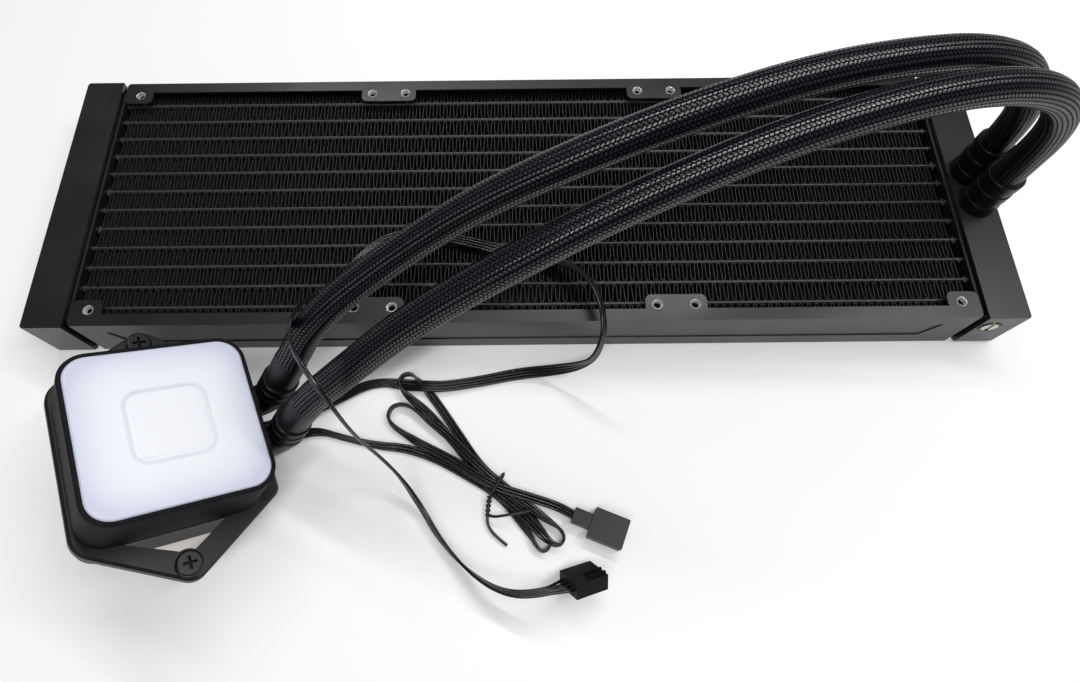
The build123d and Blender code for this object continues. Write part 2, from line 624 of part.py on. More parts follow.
# Shroud round the motor and the boards, with an inner ledge for the cap
ledge_inner = cap_side - 2 * CAP_SKIRT
port_y = [-PORT_SPACING / 2, PORT_SPACING / 2]
with BuildPart() as pump_shroud:
    with BuildSketch(pump_level(HOUSING_DEPTH)):
        RectangleRounded(HOUSING_SIDE, HOUSING_SIDE, HOUSING_CORNER)
    extrude(amount=HOUSING_DEPTH - CAP_PROUD)
    fillet(pump_shroud.faces().sort_by(Axis(pump.origin, pump.z_dir))[-1].edges(), HOUSING_RIM_ROUND)
    with BuildSketch(pump_level(HOUSING_DEPTH)):
        RectangleRounded(HOUSING_SIDE - 2 * HOUSING_WALL, HOUSING_SIDE - 2 * HOUSING_WALL,
                         HOUSING_CORNER - HOUSING_WALL)
    extrude(amount=HOUSING_DEPTH, mode=Mode.SUBTRACT)
    for y in port_y:
        with BuildSketch(pump_side(HOUSING_SIDE / 2, y, -PORT_DEPTH)):
            Circle(ELBOW_RADIUS + BODY_CLEARANCE)
            with Locations((0, -ELBOW_RADIUS)):
                Rectangle(2 * (ELBOW_RADIUS + BODY_CLEARANCE), 2 * ELBOW_RADIUS)
        extrude(amount=HOUSING_WALL + 1, both=True, mode=Mode.SUBTRACT)
    with BuildSketch(pump_level(board_bottom + LEDGE_THICKNESS)):
        RectangleRounded(HOUSING_SIDE - 2 * HOUSING_WALL, HOUSING_SIDE - 2 * HOUSING_WALL,
                         HOUSING_CORNER - HOUSING_WALL)
        RectangleRounded(ledge_inner, ledge_inner, CAP_CORNER - CAP_SKIRT, mode=Mode.SUBTRACT)
    extrude(amount=LEDGE_THICKNESS)
finish(pump_shroud, "pump_shroud")

# Control board of the motor, which carries the lamps too
board_side = cap_side - 2 * BOARD_SIDE_GAP
with BuildPart() as control_board:
    with BuildSketch(pump_level(board_bottom)):
        RectangleRounded(board_side, board_side, CAP_CORNER - BOARD_SIDE_GAP)
    extrude(amount=BOARD_THICKNESS)
finish(control_board, "control_board")
with BuildPart() as light_diodes:
    with BuildSketch(pump_level(BOARD_TOP)):
        with PolarLocations(cap_side / 2 - LED_FROM_CAP_EDGE, LED_COUNT):
            Rectangle(LED_SIDE, LED_SIDE)
    extrude(amount=LED_HEIGHT)
finish(light_diodes, "light_diodes")

# Pump block: moulded body with the motor's well, the rotor can and the impeller chamber
with BuildPart() as pump_block:
    with BuildSketch(pump_level(bracket_bottom)):
        RectangleRounded(block_side, block_side, block_corner)
    extrude(amount=bracket_bottom - block_top)
    with BuildSketch(pump_level(skirt_bottom)):
        RectangleRounded(skirt_side, skirt_side, SKIRT_CORNER)
    extrude(amount=skirt_bottom - bracket_bottom)
    with BuildSketch(pump_level(stator_bottom)):
        Circle(well_radius)
    extrude(amount=stator_bottom, mode=Mode.SUBTRACT)
    with BuildSketch(pump_level(well_floor)):
        Circle(well_radius - STATOR_LEDGE)
    extrude(amount=well_floor - stator_bottom, mode=Mode.SUBTRACT)
    with BuildSketch(pump_level(well_floor)):
        Circle(can_outer)
    extrude(amount=well_floor - can_top)
    with BuildSketch(pump_level(chamber_floor)):
        Circle(chamber_radius)
    extrude(amount=chamber_floor - chamber_roof, mode=Mode.SUBTRACT)
    with BuildSketch(pump_level(skirt_bottom)):
        Circle(channel_seat_radius)
    extrude(amount=skirt_bottom - chamber_floor, mode=Mode.SUBTRACT)
    with BuildSketch(pump_level(chamber_roof)):
        Circle(can_outer - CAN_WALL)
    extrude(amount=chamber_roof - can_top - CAN_WALL, mode=Mode.SUBTRACT)
    with BuildSketch(pump_level(can_top + CAN_WALL + SHAFT_BOSS_HEIGHT)):
        Circle(SHAFT_RADIUS + SHAFT_BOSS_WALL)
        Circle(SHAFT_RADIUS, mode=Mode.SUBTRACT)
    extrude(amount=SHAFT_BOSS_HEIGHT)
    with BuildSketch(pump_level(skirt_bottom)):
        Circle(gasket_radius + GASKET_SECTION / 2)
        Circle(gasket_radius - GASKET_SECTION / 2, mode=Mode.SUBTRACT)
    extrude(amount=GASKET_SECTION, mode=Mode.SUBTRACT)
    with BuildSketch(pump_level(skirt_bottom)):
        with PolarLocations(plate_screw_circle, PLATE_SCREW_COUNT, start_angle=180 / PLATE_SCREW_COUNT):
            Circle(PLATE_SCREW_SHANK_RADIUS)
    extrude(amount=PLATE_SCREW_LENGTH - COLD_PLATE_THICKNESS, mode=Mode.SUBTRACT)
    for y in port_y:
        with BuildSketch(pump_side(elbow_shoulder_x, y, -PORT_DEPTH)):
            Circle(SPIGOT_RADIUS)
        extrude(amount=-SPIGOT_LENGTH, mode=Mode.SUBTRACT)
    with BuildSketch(pump_side(skirt_side / 2, 0, -grommet_depth)):
        SlotOverall(GROMMET_WIDTH - 2 * GROMMET_LIP, GROMMET_HEIGHT - 2 * GROMMET_LIP)
    extrude(amount=-GROMMET_PLUG_DEPTH, mode=Mode.SUBTRACT)
finish(pump_block, "pump_block")

# Motor: laminated stator, coils, and the control board above it
with BuildPart() as stator_core:
    with BuildSketch(pump_level(stator_bottom)):
        Circle(stator_outer)
        Circle(stator_outer - STATOR_YOKE, mode=Mode.SUBTRACT)
        pole_end = stator_outer - STATOR_POLE_IN_YOKE
        pole_middle = (stator_inner + pole_end) / 2
        with PolarLocations(pole_middle, STATOR_POLES):
            Rectangle(pole_end - stator_inner, STATOR_POLE_WIDTH)
        with PolarLocations(stator_inner + STATOR_SHOE_DEPTH / 2, STATOR_POLES):
            Rectangle(STATOR_SHOE_DEPTH, STATOR_SHOE_WIDTH)
        Circle(stator_inner, mode=Mode.SUBTRACT)
    extrude(amount=stator_bottom - stator_top)
finish(stator_core, "stator_core")
coil_start = stator_inner + STATOR_SHOE_DEPTH
coil_half_width = STATOR_POLE_WIDTH / 2 + COIL_THICKNESS
coil_end = sqrt((stator_outer - STATOR_YOKE) ** 2 - coil_half_width ** 2) - COIL_CLEARANCE
with BuildPart() as stator_coils:
    with BuildSketch(pump_level(stator_bottom + COIL_THICKNESS)):
        with PolarLocations((coil_start + coil_end) / 2, STATOR_POLES):
            Rectangle(coil_end - coil_start, 2 * coil_half_width)
    extrude(amount=stator_bottom - stator_top + 2 * COIL_THICKNESS)
    with BuildSketch(pump_level(stator_bottom)):
        with PolarLocations((coil_start + coil_end) / 2, STATOR_POLES):
            Rectangle(coil_end - coil_start + 1, STATOR_POLE_WIDTH)
    extrude(amount=stator_bottom - stator_top, mode=Mode.SUBTRACT)
finish(stator_coils, "stator_coils")

# Rotor: ring magnet, impeller and bushings on a fixed shaft
with BuildPart() as rotor_shaft:
    with BuildSketch(pump_level(chamber_floor + CHANNEL_PLATE_THICKNESS)):
        Circle(SHAFT_RADIUS)
    extrude(amount=chamber_floor + CHANNEL_PLATE_THICKNESS - shaft_top)
finish(rotor_shaft, "rotor_shaft")
bushing_bore = SHAFT_RADIUS + RUNNING_FIT
disc_bottom = disc_top + IMPELLER_DISC_THICKNESS
blade_bottom = disc_bottom + IMPELLER_BLADE_HEIGHT
with BuildSketch() as blade_shape:
    with BuildLine():
        ThreePointArc((IMPELLER_HUB_RADIUS - 1, 0), (impeller_radius * 0.6, impeller_radius * 0.15),
                      (impeller_radius * 0.85, impeller_radius * 0.45))
    trace(line_width=IMPELLER_BLADE_WIDTH)
with BuildPart() as impeller:
    with BuildSketch(pump_level(disc_top)):
        Circle(rotor_radius - MAGNET_WALL)
    extrude(amount=disc_top - rotor_top)
    with BuildSketch(pump_level(disc_bottom)):
        Circle(impeller_radius)
    extrude(amount=IMPELLER_DISC_THICKNESS)
    with BuildSketch(pump_level(blade_bottom)):
        with PolarLocations(0, IMPELLER_BLADES):
            add(blade_shape.sketch)
        Circle(IMPELLER_HUB_RADIUS)
    extrude(amount=IMPELLER_BLADE_HEIGHT)
    with BuildSketch(pump_level(blade_bottom)):
        Circle(BUSHING_RADIUS)
    extrude(amount=blade_bottom - rotor_top, mode=Mode.SUBTRACT)
finish(impeller, "impeller")
with BuildPart() as rotor_magnet:
    with BuildSketch(pump_level(disc_top)):
        Circle(rotor_radius)
        Circle(rotor_radius - MAGNET_WALL, mode=Mode.SUBTRACT)
    extrude(amount=disc_top - rotor_top)
finish(rotor_magnet, "rotor_magnet")
upper_bushing_top = shaft_top + SHAFT_BOSS_HEIGHT + THRUST_GAP
lower_bushing_bottom = chamber_floor - THRUST_GAP
for name, bottom in (("upper_bushing", upper_bushing_top + BUSHING_LENGTH),
                     ("lower_bushing", lower_bushing_bottom)):
    with BuildPart() as bushing:
        with BuildSketch(pump_level(bottom)):
            Circle(BUSHING_RADIUS)
            Circle(bushing_bore, mode=Mode.SUBTRACT)
        extrude(amount=BUSHING_LENGTH)
    finish(bushing, name)

# Channel plate closes the impeller chamber and stands on the cold plate by its skirt
channel_radius = channel_seat_radius - CHANNEL_CLEARANCE
with BuildPart() as channel_plate:
    with BuildSketch(pump_level(skirt_bottom)):
        Circle(channel_radius)
    extrude(amount=skirt_bottom - chamber_floor)
    with BuildSketch(pump_level(skirt_bottom)):
        Circle(channel_radius - CHANNEL_SKIRT_WALL)
    extrude(amount=skirt_bottom - chamber_floor - CHANNEL_PLATE_THICKNESS, mode=Mode.SUBTRACT)
    with BuildSketch(pump_level(chamber_floor)):
        Circle(SHAFT_RADIUS)
        with PolarLocations(EYE_CIRCLE, EYE_HOLES):
            Circle(EYE_HOLE_RADIUS)
    extrude(amount=-CHANNEL_PLATE_THICKNESS, mode=Mode.SUBTRACT)
finish(channel_plate, "channel_plate")

# Gasket, copper cold plate with its fine fins, and the screws that hold it
with BuildPart() as base_gasket:
    with BuildSketch(pump_level(skirt_bottom)):
        Circle(gasket_radius + GASKET_SECTION / 2)
        Circle(gasket_radius - GASKET_SECTION / 2, mode=Mode.SUBTRACT)
    extrude(amount=GASKET_SECTION)
finish(base_gasket, "base_gasket")
micro_fin_length = sqrt(2) * (channel_radius - CHANNEL_SKIRT_WALL - MICRO_FIN_SIDE_GAP)
micro_fin_pitch = micro_fin_length / MICRO_FIN_COUNT
countersink = PLATE_SCREW_HEAD_RADIUS - PLATE_SCREW_SHANK_RADIUS
with BuildPart() as cold_plate:
    with BuildSketch(pump_level(plate_bottom)):
        RectangleRounded(cold_plate_side, cold_plate_side, COLD_PLATE_CORNER)
    extrude(amount=COLD_PLATE_THICKNESS)
    with BuildSketch(pump_level(skirt_bottom)):
        with GridLocations(micro_fin_pitch, 1, MICRO_FIN_COUNT, 1):
            Rectangle(MICRO_FIN_SHARE * micro_fin_pitch, micro_fin_length)
    extrude(amount=MICRO_FIN_HEIGHT)
    with BuildSketch(pump_level(plate_bottom)):
        with PolarLocations(plate_screw_circle, PLATE_SCREW_COUNT, start_angle=180 / PLATE_SCREW_COUNT):
            Circle(PLATE_SCREW_SHANK_RADIUS)
    extrude(amount=COLD_PLATE_THICKNESS, mode=Mode.SUBTRACT)
    with BuildSketch(pump_level(plate_bottom)):
        with PolarLocations(plate_screw_circle, PLATE_SCREW_COUNT, start_angle=180 / PLATE_SCREW_COUNT):
            Circle(PLATE_SCREW_HEAD_RADIUS)
    extrude(amount=countersink, taper=45, mode=Mode.SUBTRACT)
finish(cold_plate, "cold_plate")
with BuildPart() as plate_screws:
    with BuildSketch(pump_level(plate_bottom)):
        with PolarLocations(plate_screw_circle, PLATE_SCREW_COUNT, start_angle=180 / PLATE_SCREW_COUNT):
            Circle(PLATE_SCREW_SHANK_RADIUS)
    extrude(amount=PLATE_SCREW_LENGTH)
    with BuildSketch(pump_level(plate_bottom)):
        with PolarLocations(plate_screw_circle, PLATE_SCREW_COUNT, start_angle=180 / PLATE_SCREW_COUNT):
            Circle(PLATE_SCREW_HEAD_RADIUS)
    extrude(amount=countersink, taper=45)
finish(plate_screws, "plate_screws")

# Mounting bracket: a flat frame with a wing and a boss for the screw on each side
bracket_half = [(BRACKET_RIGHT, BRACKET_RIGHT_SHOULDER), BRACKET_TIP, (BRACKET_LEFT, BRACKET_LEFT_SHOULDER)]
bracket_outline = [(x, -y) for x, y in bracket_half] + bracket_half[::-1]
corner_rounds = [(BRACKET_RIGHT, BRACKET_RIGHT_ROUND), (BRACKET_TIP[0], BRACKET_TIP_ROUND),
                 (BRACKET_LEFT, BRACKET_LEFT_ROUND)]
window_wing = [BRACKET_WINDOW_LEFT, BRACKET_WINDOW_TIP, BRACKET_WINDOW_RIGHT]
with BuildSketch() as bracket_shape:
    with BuildLine():
        Polyline(*bracket_outline, close=True)
    make_face()
    for corner_x, radius in corner_rounds:
        corners = bracket_shape.vertices().filter_by(lambda v: abs(v.X - corner_x) < 0.01)
        fillet(corners, radius)
with BuildSketch() as bracket_opening:
    RectangleRounded(block_side + 2 * BODY_CLEARANCE, block_side + 2 * BODY_CLEARANCE, block_corner)
    for side in (-1, 1):
        with BuildLine():
            Polyline(*[(x, side * y) for x, y in window_wing], close=True)
        make_face()
        with Locations((SCREW_X, side * SCREW_Y)):
            Circle(BRACKET_BOSS_RADIUS, mode=Mode.SUBTRACT)
with BuildPart() as mounting_bracket:
    with BuildSketch(pump_level(bracket_bottom)):
        add(bracket_shape.sketch)
    extrude(amount=BRACKET_THICKNESS)
    chamfer(mounting_bracket.faces().sort_by(Axis(pump.origin, pump.z_dir))[-1].edges(), BRACKET_BEVEL)
    with BuildSketch(pump_level(bracket_bottom)):
        add(bracket_opening.sketch)
        with Locations(*[(SCREW_X, side * SCREW_Y) for side in (-1, 1)]):
            Circle(SCREW_HOLE_RADIUS)
    extrude(amount=BRACKET_THICKNESS, mode=Mode.SUBTRACT)
finish(mounting_bracket, "mounting_bracket")


# Mounting screws: captive in the bracket, each held by a ring round its neck
def mounting_screw(side):
    frame = Plane(origin=pump_point(SCREW_X, side * SCREW_Y, RUNNING_FIT - bracket_top),
                  x_dir=pump.x_dir, z_dir=pump.z_dir)
    with BuildPart() as screw:
        with BuildSketch(frame):
            Circle(SCREW_HEAD_RADIUS)
        extrude(amount=SCREW_HEAD_HEIGHT)
        head_axis = Axis(pump.origin, pump.z_dir)
        fillet(screw.faces().sort_by(head_axis)[-1].edges(), SCREW_HEAD_HEIGHT * 0.4)
        with BuildSketch(frame):
            Circle(SCREW_SHANK_RADIUS)
        extrude(amount=-SCREW_LENGTH)
        chamfer(screw.faces().sort_by(head_axis)[0].edges(), SCREW_SHANK_RADIUS * 0.35)
        with BuildSketch(frame):
            Circle(SCREW_SHANK_RADIUS)
            Circle(SCREW_NECK_RADIUS, mode=Mode.SUBTRACT)
        extrude(amount=-(BRACKET_THICKNESS + RETAINER_THICKNESS + RETAINER_TO_THREAD), mode=Mode.SUBTRACT)
        with BuildSketch(frame.offset(SCREW_HEAD_HEIGHT)):
            Rectangle(SCREW_CROSS_SPAN, SCREW_CROSS_WIDTH)
            Rectangle(SCREW_CROSS_WIDTH, SCREW_CROSS_SPAN)
        extrude(amount=-SCREW_CROSS_DEPTH, mode=Mode.SUBTRACT)
    return screw


finish(mounting_screw(-1), "front_mounting_screw")
finish(mounting_screw(1), "rear_mounting_screw")
with BuildPart() as screw_retainers:
    with BuildSketch(pump_level(bracket_bottom + RETAINER_THICKNESS)):
        with Locations(*[(SCREW_X, side * SCREW_Y) for side in (-1, 1)]):
            Circle(RETAINER_RADIUS)
            Circle(SCREW_NECK_RADIUS + RUNNING_FIT, mode=Mode.SUBTRACT)
    extrude(amount=RETAINER_THICKNESS)
finish(screw_retainers, "screw_retainers")


# Elbows: a spigot in the pump block, a rounded bend and a barb for the hose
def elbow(y):
    corner = pump_point(ELBOW_REACH, y, -PORT_DEPTH)
    barb_top = pump_ferrule_base + FERRULE_FLOOR + PUMP_BARB_STANDS_UP
    with BuildPart() as bend:
        with BuildLine():
            FilletPolyline(pump_point(elbow_shoulder_x, y, -PORT_DEPTH), corner,
                           pump_point(ELBOW_REACH, y, pump_ferrule_base), radius=ELBOW_BEND)
        with BuildSketch(pump_side(elbow_shoulder_x, y, -PORT_DEPTH)):
            Circle(ELBOW_RADIUS)
        sweep()
        with BuildSketch(pump_side(elbow_shoulder_x, y, -PORT_DEPTH)):
            Circle(SPIGOT_RADIUS)
        extrude(amount=-SPIGOT_LENGTH)
        groove_x = elbow_shoulder_x - SPIGOT_LENGTH + SPIGOT_GROOVE_FROM_TIP
        with BuildSketch(pump_side(groove_x, y, -PORT_DEPTH)):
            Circle(SPIGOT_RADIUS)
            Circle(SPIGOT_RADIUS - SPIGOT_GROOVE, mode=Mode.SUBTRACT)
        extrude(amount=SPIGOT_GROOVE_WIDTH, mode=Mode.SUBTRACT)
        with BuildSketch(Plane(origin=pump_point(ELBOW_REACH, y, pump_ferrule_base), x_dir=pump.x_dir,
                               z_dir=-pump.y_dir)):
            with BuildLine():
                Polyline(*barb_outline(0, PUMP_BARB_STANDS_UP), close=True)
            make_face()
        revolve(axis=Axis(pump_point(ELBOW_REACH, y, 0), pump.z_dir))
        with BuildSketch(Plane(origin=pump_point(ELBOW_REACH, y, barb_top), x_dir=pump.x_dir,
                               z_dir=pump.z_dir)):
            Circle(BARB_BORE_RADIUS)
        extrude(amount=-(barb_top + PORT_DEPTH), mode=Mode.SUBTRACT)
        with BuildSketch(pump_side(elbow_shoulder_x - SPIGOT_LENGTH, y, -PORT_DEPTH)):
            Circle(BARB_BORE_RADIUS)
        extrude(amount=ELBOW_REACH - elbow_shoulder_x + SPIGOT_LENGTH, mode=Mode.SUBTRACT)
    return bend


def pump_ferrule(y):
    base = pump_point(ELBOW_REACH, y, pump_ferrule_base)
    with BuildPart() as cup:
        with BuildSketch(Plane(origin=base, x_dir=pump.x_dir, z_dir=-pump.y_dir)):
            with BuildLine():
                Polyline(*ferrule_outline(PUMP_FERRULE_RADIUS, PUMP_FERRULE_LENGTH), close=True)
            make_face()
        revolve(axis=Axis(base, pump.z_dir))
    return cup


for name, y in (("front", port_y[0]), ("rear", port_y[1])):
    finish(elbow(y), f"{name}_elbow")
    finish(pump_ferrule(y), f"{name}_pump_ferrule")
with BuildPart() as port_seals:
    for y in port_y:
        seal_x = elbow_shoulder_x - SPIGOT_LENGTH + SPIGOT_GROOVE_FROM_TIP
        with BuildSketch(pump_side(seal_x, y, -PORT_DEPTH)):
            Circle(SPIGOT_RADIUS)
            Circle(SPIGOT_RADIUS - SPIGOT_GROOVE, mode=Mode.SUBTRACT)
        extrude(amount=SPIGOT_GROOVE_WIDTH)
finish(port_seals, "port_seals")

# Grommet where both cables leave the block, under the elbows
grommet_face = skirt_side / 2 + GROMMET_PROUD
with BuildPart() as cable_grommet:
    with BuildSketch(pump_side(skirt_side / 2, 0, -grommet_depth)):
        SlotOverall(GROMMET_WIDTH, GROMMET_HEIGHT)
    extrude(amount=GROMMET_PROUD)
    with BuildSketch(pump_side(skirt_side / 2, 0, -grommet_depth)):
        SlotOverall(GROMMET_WIDTH - 2 * GROMMET_LIP, GROMMET_HEIGHT - 2 * GROMMET_LIP)
    extrude(amount=-GROMMET_PLUG_DEPTH)
finish(cable_grommet, "cable_grommet")


# Hoses: each runs up and over from its elbow to its radiator fitting. The first two points
# lie on the elbow's axis and the last two on the fitting's axis
def hose(name, y, end_side, shares):
    seat = pump_ferrule_base + FERRULE_FLOOR
    end_seat = RADIATOR_HEIGHT + FITTING_FOOT_HEIGHT + FERRULE_FLOOR
    end_y = end_side * FITTING_SPACING / 2
    start = pump_point(ELBOW_REACH, y, seat)
    end = Vector(fitting_x, end_y, end_seat)
    way = end - start
    middle = [Vector(start.X + along * way.X, start.Y + across * way.Y, height)
              for along, across, height in shares]
    places, radii = rounded_path([start, pump_point(ELBOW_REACH, y, HOSE_FIRST_RUN + seat), *middle,
                                  Vector(fitting_x, end_y, end_seat + HOSE_LAST_RUN), end])
    with BuildPart() as tube:
        with BuildLine():
            FilletPolyline(*places, radius=radii)
        with BuildSketch(Plane(origin=start, x_dir=pump.x_dir, z_dir=pump.z_dir)):
            Circle(HOSE_DIAMETER / 2)
        sweep()
    print_cord(name, places, radii, HOSE_DIAMETER, tube.part)
    with BuildPart() as bored:
        add(tube.part)
        with BuildSketch(Plane(origin=start, x_dir=pump.x_dir, z_dir=pump.z_dir)):
            Circle(HOSE_BORE_RADIUS)
        extrude(amount=PUMP_BARB_STANDS_UP + 1, mode=Mode.SUBTRACT)
        with BuildSketch(Plane(origin=end)):
            Circle(HOSE_BORE_RADIUS)
        extrude(amount=BARB_STANDS_UP + 1, mode=Mode.SUBTRACT)
    finish(bored, name)


# Shares of the way from port to fitting along X and along Y, then the height above the ground
front_hose_points = [(0.098, 0.102, 62), (0.188, 0.209, 84), (0.307, 0.317, 105),
                     (0.425, 0.446, 117), (0.551, 0.576, 125), (0.669, 0.694, 127),
                     (0.777, 0.786, 125), (0.863, 0.85, 117.5), (0.932, 0.91, 104),
                     (0.978, 0.958, 83.5)]
rear_hose_points = [(0.08, 0.151, 63), (0.175, 0.291, 80), (0.281, 0.389, 100),
                    (0.393, 0.443, 118), (0.502, 0.529, 127), (0.621, 0.659, 127),
                    (0.726, 0.745, 124.5), (0.821, 0.821, 118.5), (0.902, 0.886, 105.5),
                    (0.961, 0.945, 84)]
hose("front_hose", port_y[0], -1, front_hose_points)
hose("rear_hose", port_y[1], 1, rear_hose_points)


# Power plug of the pump: it stands tilted on one corner, its wires entering at the end x = 0
power_plug_plane = Plane(origin=ground.from_local_coords(POWER_PLUG_CORNER), x_dir=POWER_PLUG_ALONG,
                         z_dir=POWER_PLUG_UP)
plug_length, plug_width, plug_height = POWER_PLUG_SIZE
wire_end = (0, plug_width / 2, -plug_height / 2)
wire_before = (-POWER_PLUG_LAST_RUN, plug_width / 2, -plug_height / 2)
rib_length, rib_width, rib_height = POWER_PLUG_RIB
way_y = [plug_width / 2 + (n - (POWER_PLUG_WAYS - 1) / 2) * POWER_PLUG_WAY_PITCH
         for n in range(POWER_PLUG_WAYS)]
way_face = Plane(origin=power_plug_plane.from_local_coords((plug_length, 0, -plug_height / 2)),
                 x_dir=power_plug_plane.y_dir, z_dir=power_plug_plane.x_dir)
with BuildPart() as power_plug:
    with BuildSketch(power_plug_plane):
        Rectangle(plug_length, plug_width, align=(Align.MIN, Align.MIN))
    extrude(amount=-plug_height)
    with BuildSketch(power_plug_plane):
        with Locations(*[(plug_length - rib_length, y) for y in way_y[:2]]):
            Rectangle(rib_length, rib_width, align=(Align.MIN, Align.CENTER))
    extrude(amount=rib_height)
    with BuildSketch(way_face):
        with Locations(*[(y, 0) for y in way_y]):
            Rectangle(POWER_PLUG_WAY_SIDE, POWER_PLUG_WAY_SIDE)
    extrude(amount=-(plug_length - POWER_PLUG_FLOOR), mode=Mode.SUBTRACT)
finish(power_plug, "power_plug")
with BuildPart() as power_contacts:
    with BuildSketch(way_face.offset(POWER_PLUG_FLOOR - plug_length)):
        with Locations(*[(y, 0) for y in way_y]):
            Rectangle(CONTACT_SIDE, CONTACT_SIDE)
    extrude(amount=CONTACT_LENGTH)
finish(power_contacts, "power_contacts")


# Cables: plain tubes as wide as the ribbons, along hand-chosen points on the ground and over the radiator
def cable(name, width, points):
    places, radii = rounded_path(points)
    with BuildPart() as tube:
        with BuildLine():
            FilletPolyline(*places, radius=radii)
        with BuildSketch(Plane(origin=places[0], z_dir=places[1] - places[0])):
            Circle(width / 2)
        sweep()
    print_cord(name, places, radii, width, tube.part)
    finish(tube, name)


def cable_exit(y):
    """The first two points of a cable that leaves the grommet this far off its middle."""
    return [pump_point(grommet_face + reach, y, -grommet_depth) for reach in (0, CABLE_FIRST_RUN)]


def on_ground(points):
    """Row points of places given from the middle of the radiator's front edge, on the ground."""
    return [ground.from_local_coords(point) for point in points]


pump_cable_ground = [
    (-95, -31, 3), (-84, -26, 3), (-73, -20, 3), (-61, -15.5, 3), (-48, -17, 3), (-33, -18, 3),
    (-18, -15.5, 3), (-3, -12.5, 3), (11, -12.5, 6), (21.5, -14, 17), (27.5, -14, 30), (31, -5, 44.5),
    (28.5, 12, 46), (19, 23, 39.5), (5, 29, 34.5), (-10, 33, 34.5), (-26, 38, 34.5),
    (-41, 41.5, 34.5), (-55, 39, 34.5), (-66, 30, 34.5), (-73, 18, 34.5), (-83, 9, 36),
    (-90, 0, 47), (-90, -11, 61), (-81, -22, 74), (-69, -32, 80), (-60, -43, 75), (-56, -50, 61),
    (-55, -51, 44), (-52, -52, 27), (-47, -56, 12), (-40, -66, 4), (-33, -78, 3),
    (-22.5, -89, 6), (-9.5, -97, 13.7)]
light_cable_ground = [
    (-94, -38.5, 2.4), (-84, -35.5, 2.4), (-72, -39, 2.4), (-59, -42, 2.4), (-47, -43, 2.4)]
power_plug_way = [power_plug_plane.from_local_coords(place) for place in (wire_before, wire_end)]
pump_cable_points = cable_exit(CABLE_EXIT_SPREAD) + on_ground(pump_cable_ground) + power_plug_way
cable("pump_cable", PUMP_CABLE_WIDTH, pump_cable_points)
cable("light_cable", LIGHT_CABLE_WIDTH, cable_exit(-CABLE_EXIT_SPREAD) + on_ground(light_cable_ground))

# Hank: five passes of the lighting cable, spread at both ends and drawn together by the twist tie
hank_upper = [(-15.8, -49), (-25, -36), (-34.7, -24.5), (-40.5, -21), (-47.5, -21.5), (-54, -25.5),
              (-55.5, -32), (-51, -37.5), (-44, -42), (-33, -49.5), (-24, -55.5), (-14.6, -61)]
hank_lower = [(-8.4, -64), (-2.6, -71.5), (2, -79.5), (5.5, -82), (9.5, -81), (12.5, -76.5),
              (11, -71.5), (4, -66), HANK_OUTLET[0], HANK_OUTLET[1], (-8.8, -54.8)]
outlet_z = GROUND_CLEARANCE + LIGHT_CABLE_WIDTH / 2
outlet_low, outlet_high = on_ground([(*place, outlet_z) for place in HANK_OUTLET])
tail_start = (outlet_low + outlet_high) / 2
tail_way = (outlet_high - outlet_low).rotate(Axis.Z, -90).normalized()
tie_across = Plane(origin=ground.from_local_coords((*TIE_CENTRE, GROUND_CLEARANCE))).rotated((0, 0, TIE_TURN))
with BuildPart() as light_cable_hank:
    with BuildSketch(ground.offset(GROUND_CLEARANCE)):
        with BuildLine():
            Polyline(*hank_upper, *hank_lower, close=True)
        make_face()
    extrude(amount=HANK_HEIGHT)
    with BuildSketch(tie_across):
        Rectangle(2 * TIE_LOOP_WIDTH, TIE_WIRE)
    extrude(amount=TIE_WIRE, mode=Mode.SUBTRACT)
finish(light_cable_hank, "light_cable_hank")

# Twist tie: a loop round the waist of the hank, the twisted stretch beside it and two loose ends
twist_start, twist_middle, twist_end = on_ground([(-14, -62.9, 2.2), (-14.8, -66, 2.2), (-15, -69.4, 2.2)])
long_end = [twist_end, *on_ground([(-9, -69.6, 5.9), (1.2, -68.2, 6.1)])]
short_end = [twist_end, *on_ground([(-14, -74.6, 1.4), (-7.6, -80.1, 1.2)])]
with BuildPart() as twist_tie:
    with BuildSketch(tie_across):
        Rectangle(TIE_LOOP_WIDTH, TIE_WIRE)
    extrude(amount=HANK_HEIGHT + TIE_WIRE)
    add(light_cable_hank.part, mode=Mode.SUBTRACT)
    for radius, points in ((TIE_TWIST_RADIUS, [twist_start, twist_middle, twist_end]),
                           (TIE_WIRE / 2, long_end), (TIE_WIRE / 2, short_end)):
        with BuildLine() as wire:
            FilletPolyline(*points, radius=TIE_TAIL_BEND)
        with BuildSketch(Plane(origin=wire.line @ 0, z_dir=wire.line % 0)):
            Circle(radius)
        sweep(path=wire.line)
    with Locations(twist_end):
        Sphere(TIE_TWIST_RADIUS)
finish(twist_tie, "twist_tie")

# Lighting plug lies flat, with its neck towards the hank
light_plug_middle = ground.from_local_coords((*LIGHT_PLUG_CENTRE, GROUND_CLEARANCE))
light_plug_plane = Plane(origin=light_plug_middle).rotated((0, 0, LIGHT_PLUG_TURN))
housing_length, housing_width, housing_height = LIGHT_PLUG_SIZE
neck_length, neck_width, neck_height = LIGHT_PLUG_NECK
neck_end_x = -housing_length / 2 - neck_length
with BuildPart() as light_plug:
    with BuildSketch(light_plug_plane):
        Rectangle(housing_length, housing_width)
    extrude(amount=housing_height)
    fillet(light_plug.edges().filter_by(Axis.Z), LIGHT_PLUG_ROUND)
    with BuildSketch(light_plug_plane.offset((housing_height - neck_height) / 2)):
        with Locations((-(housing_length + neck_length) / 2, 0)):
            Rectangle(neck_length, neck_width)
    extrude(amount=neck_height)
finish(light_plug, "light_plug")

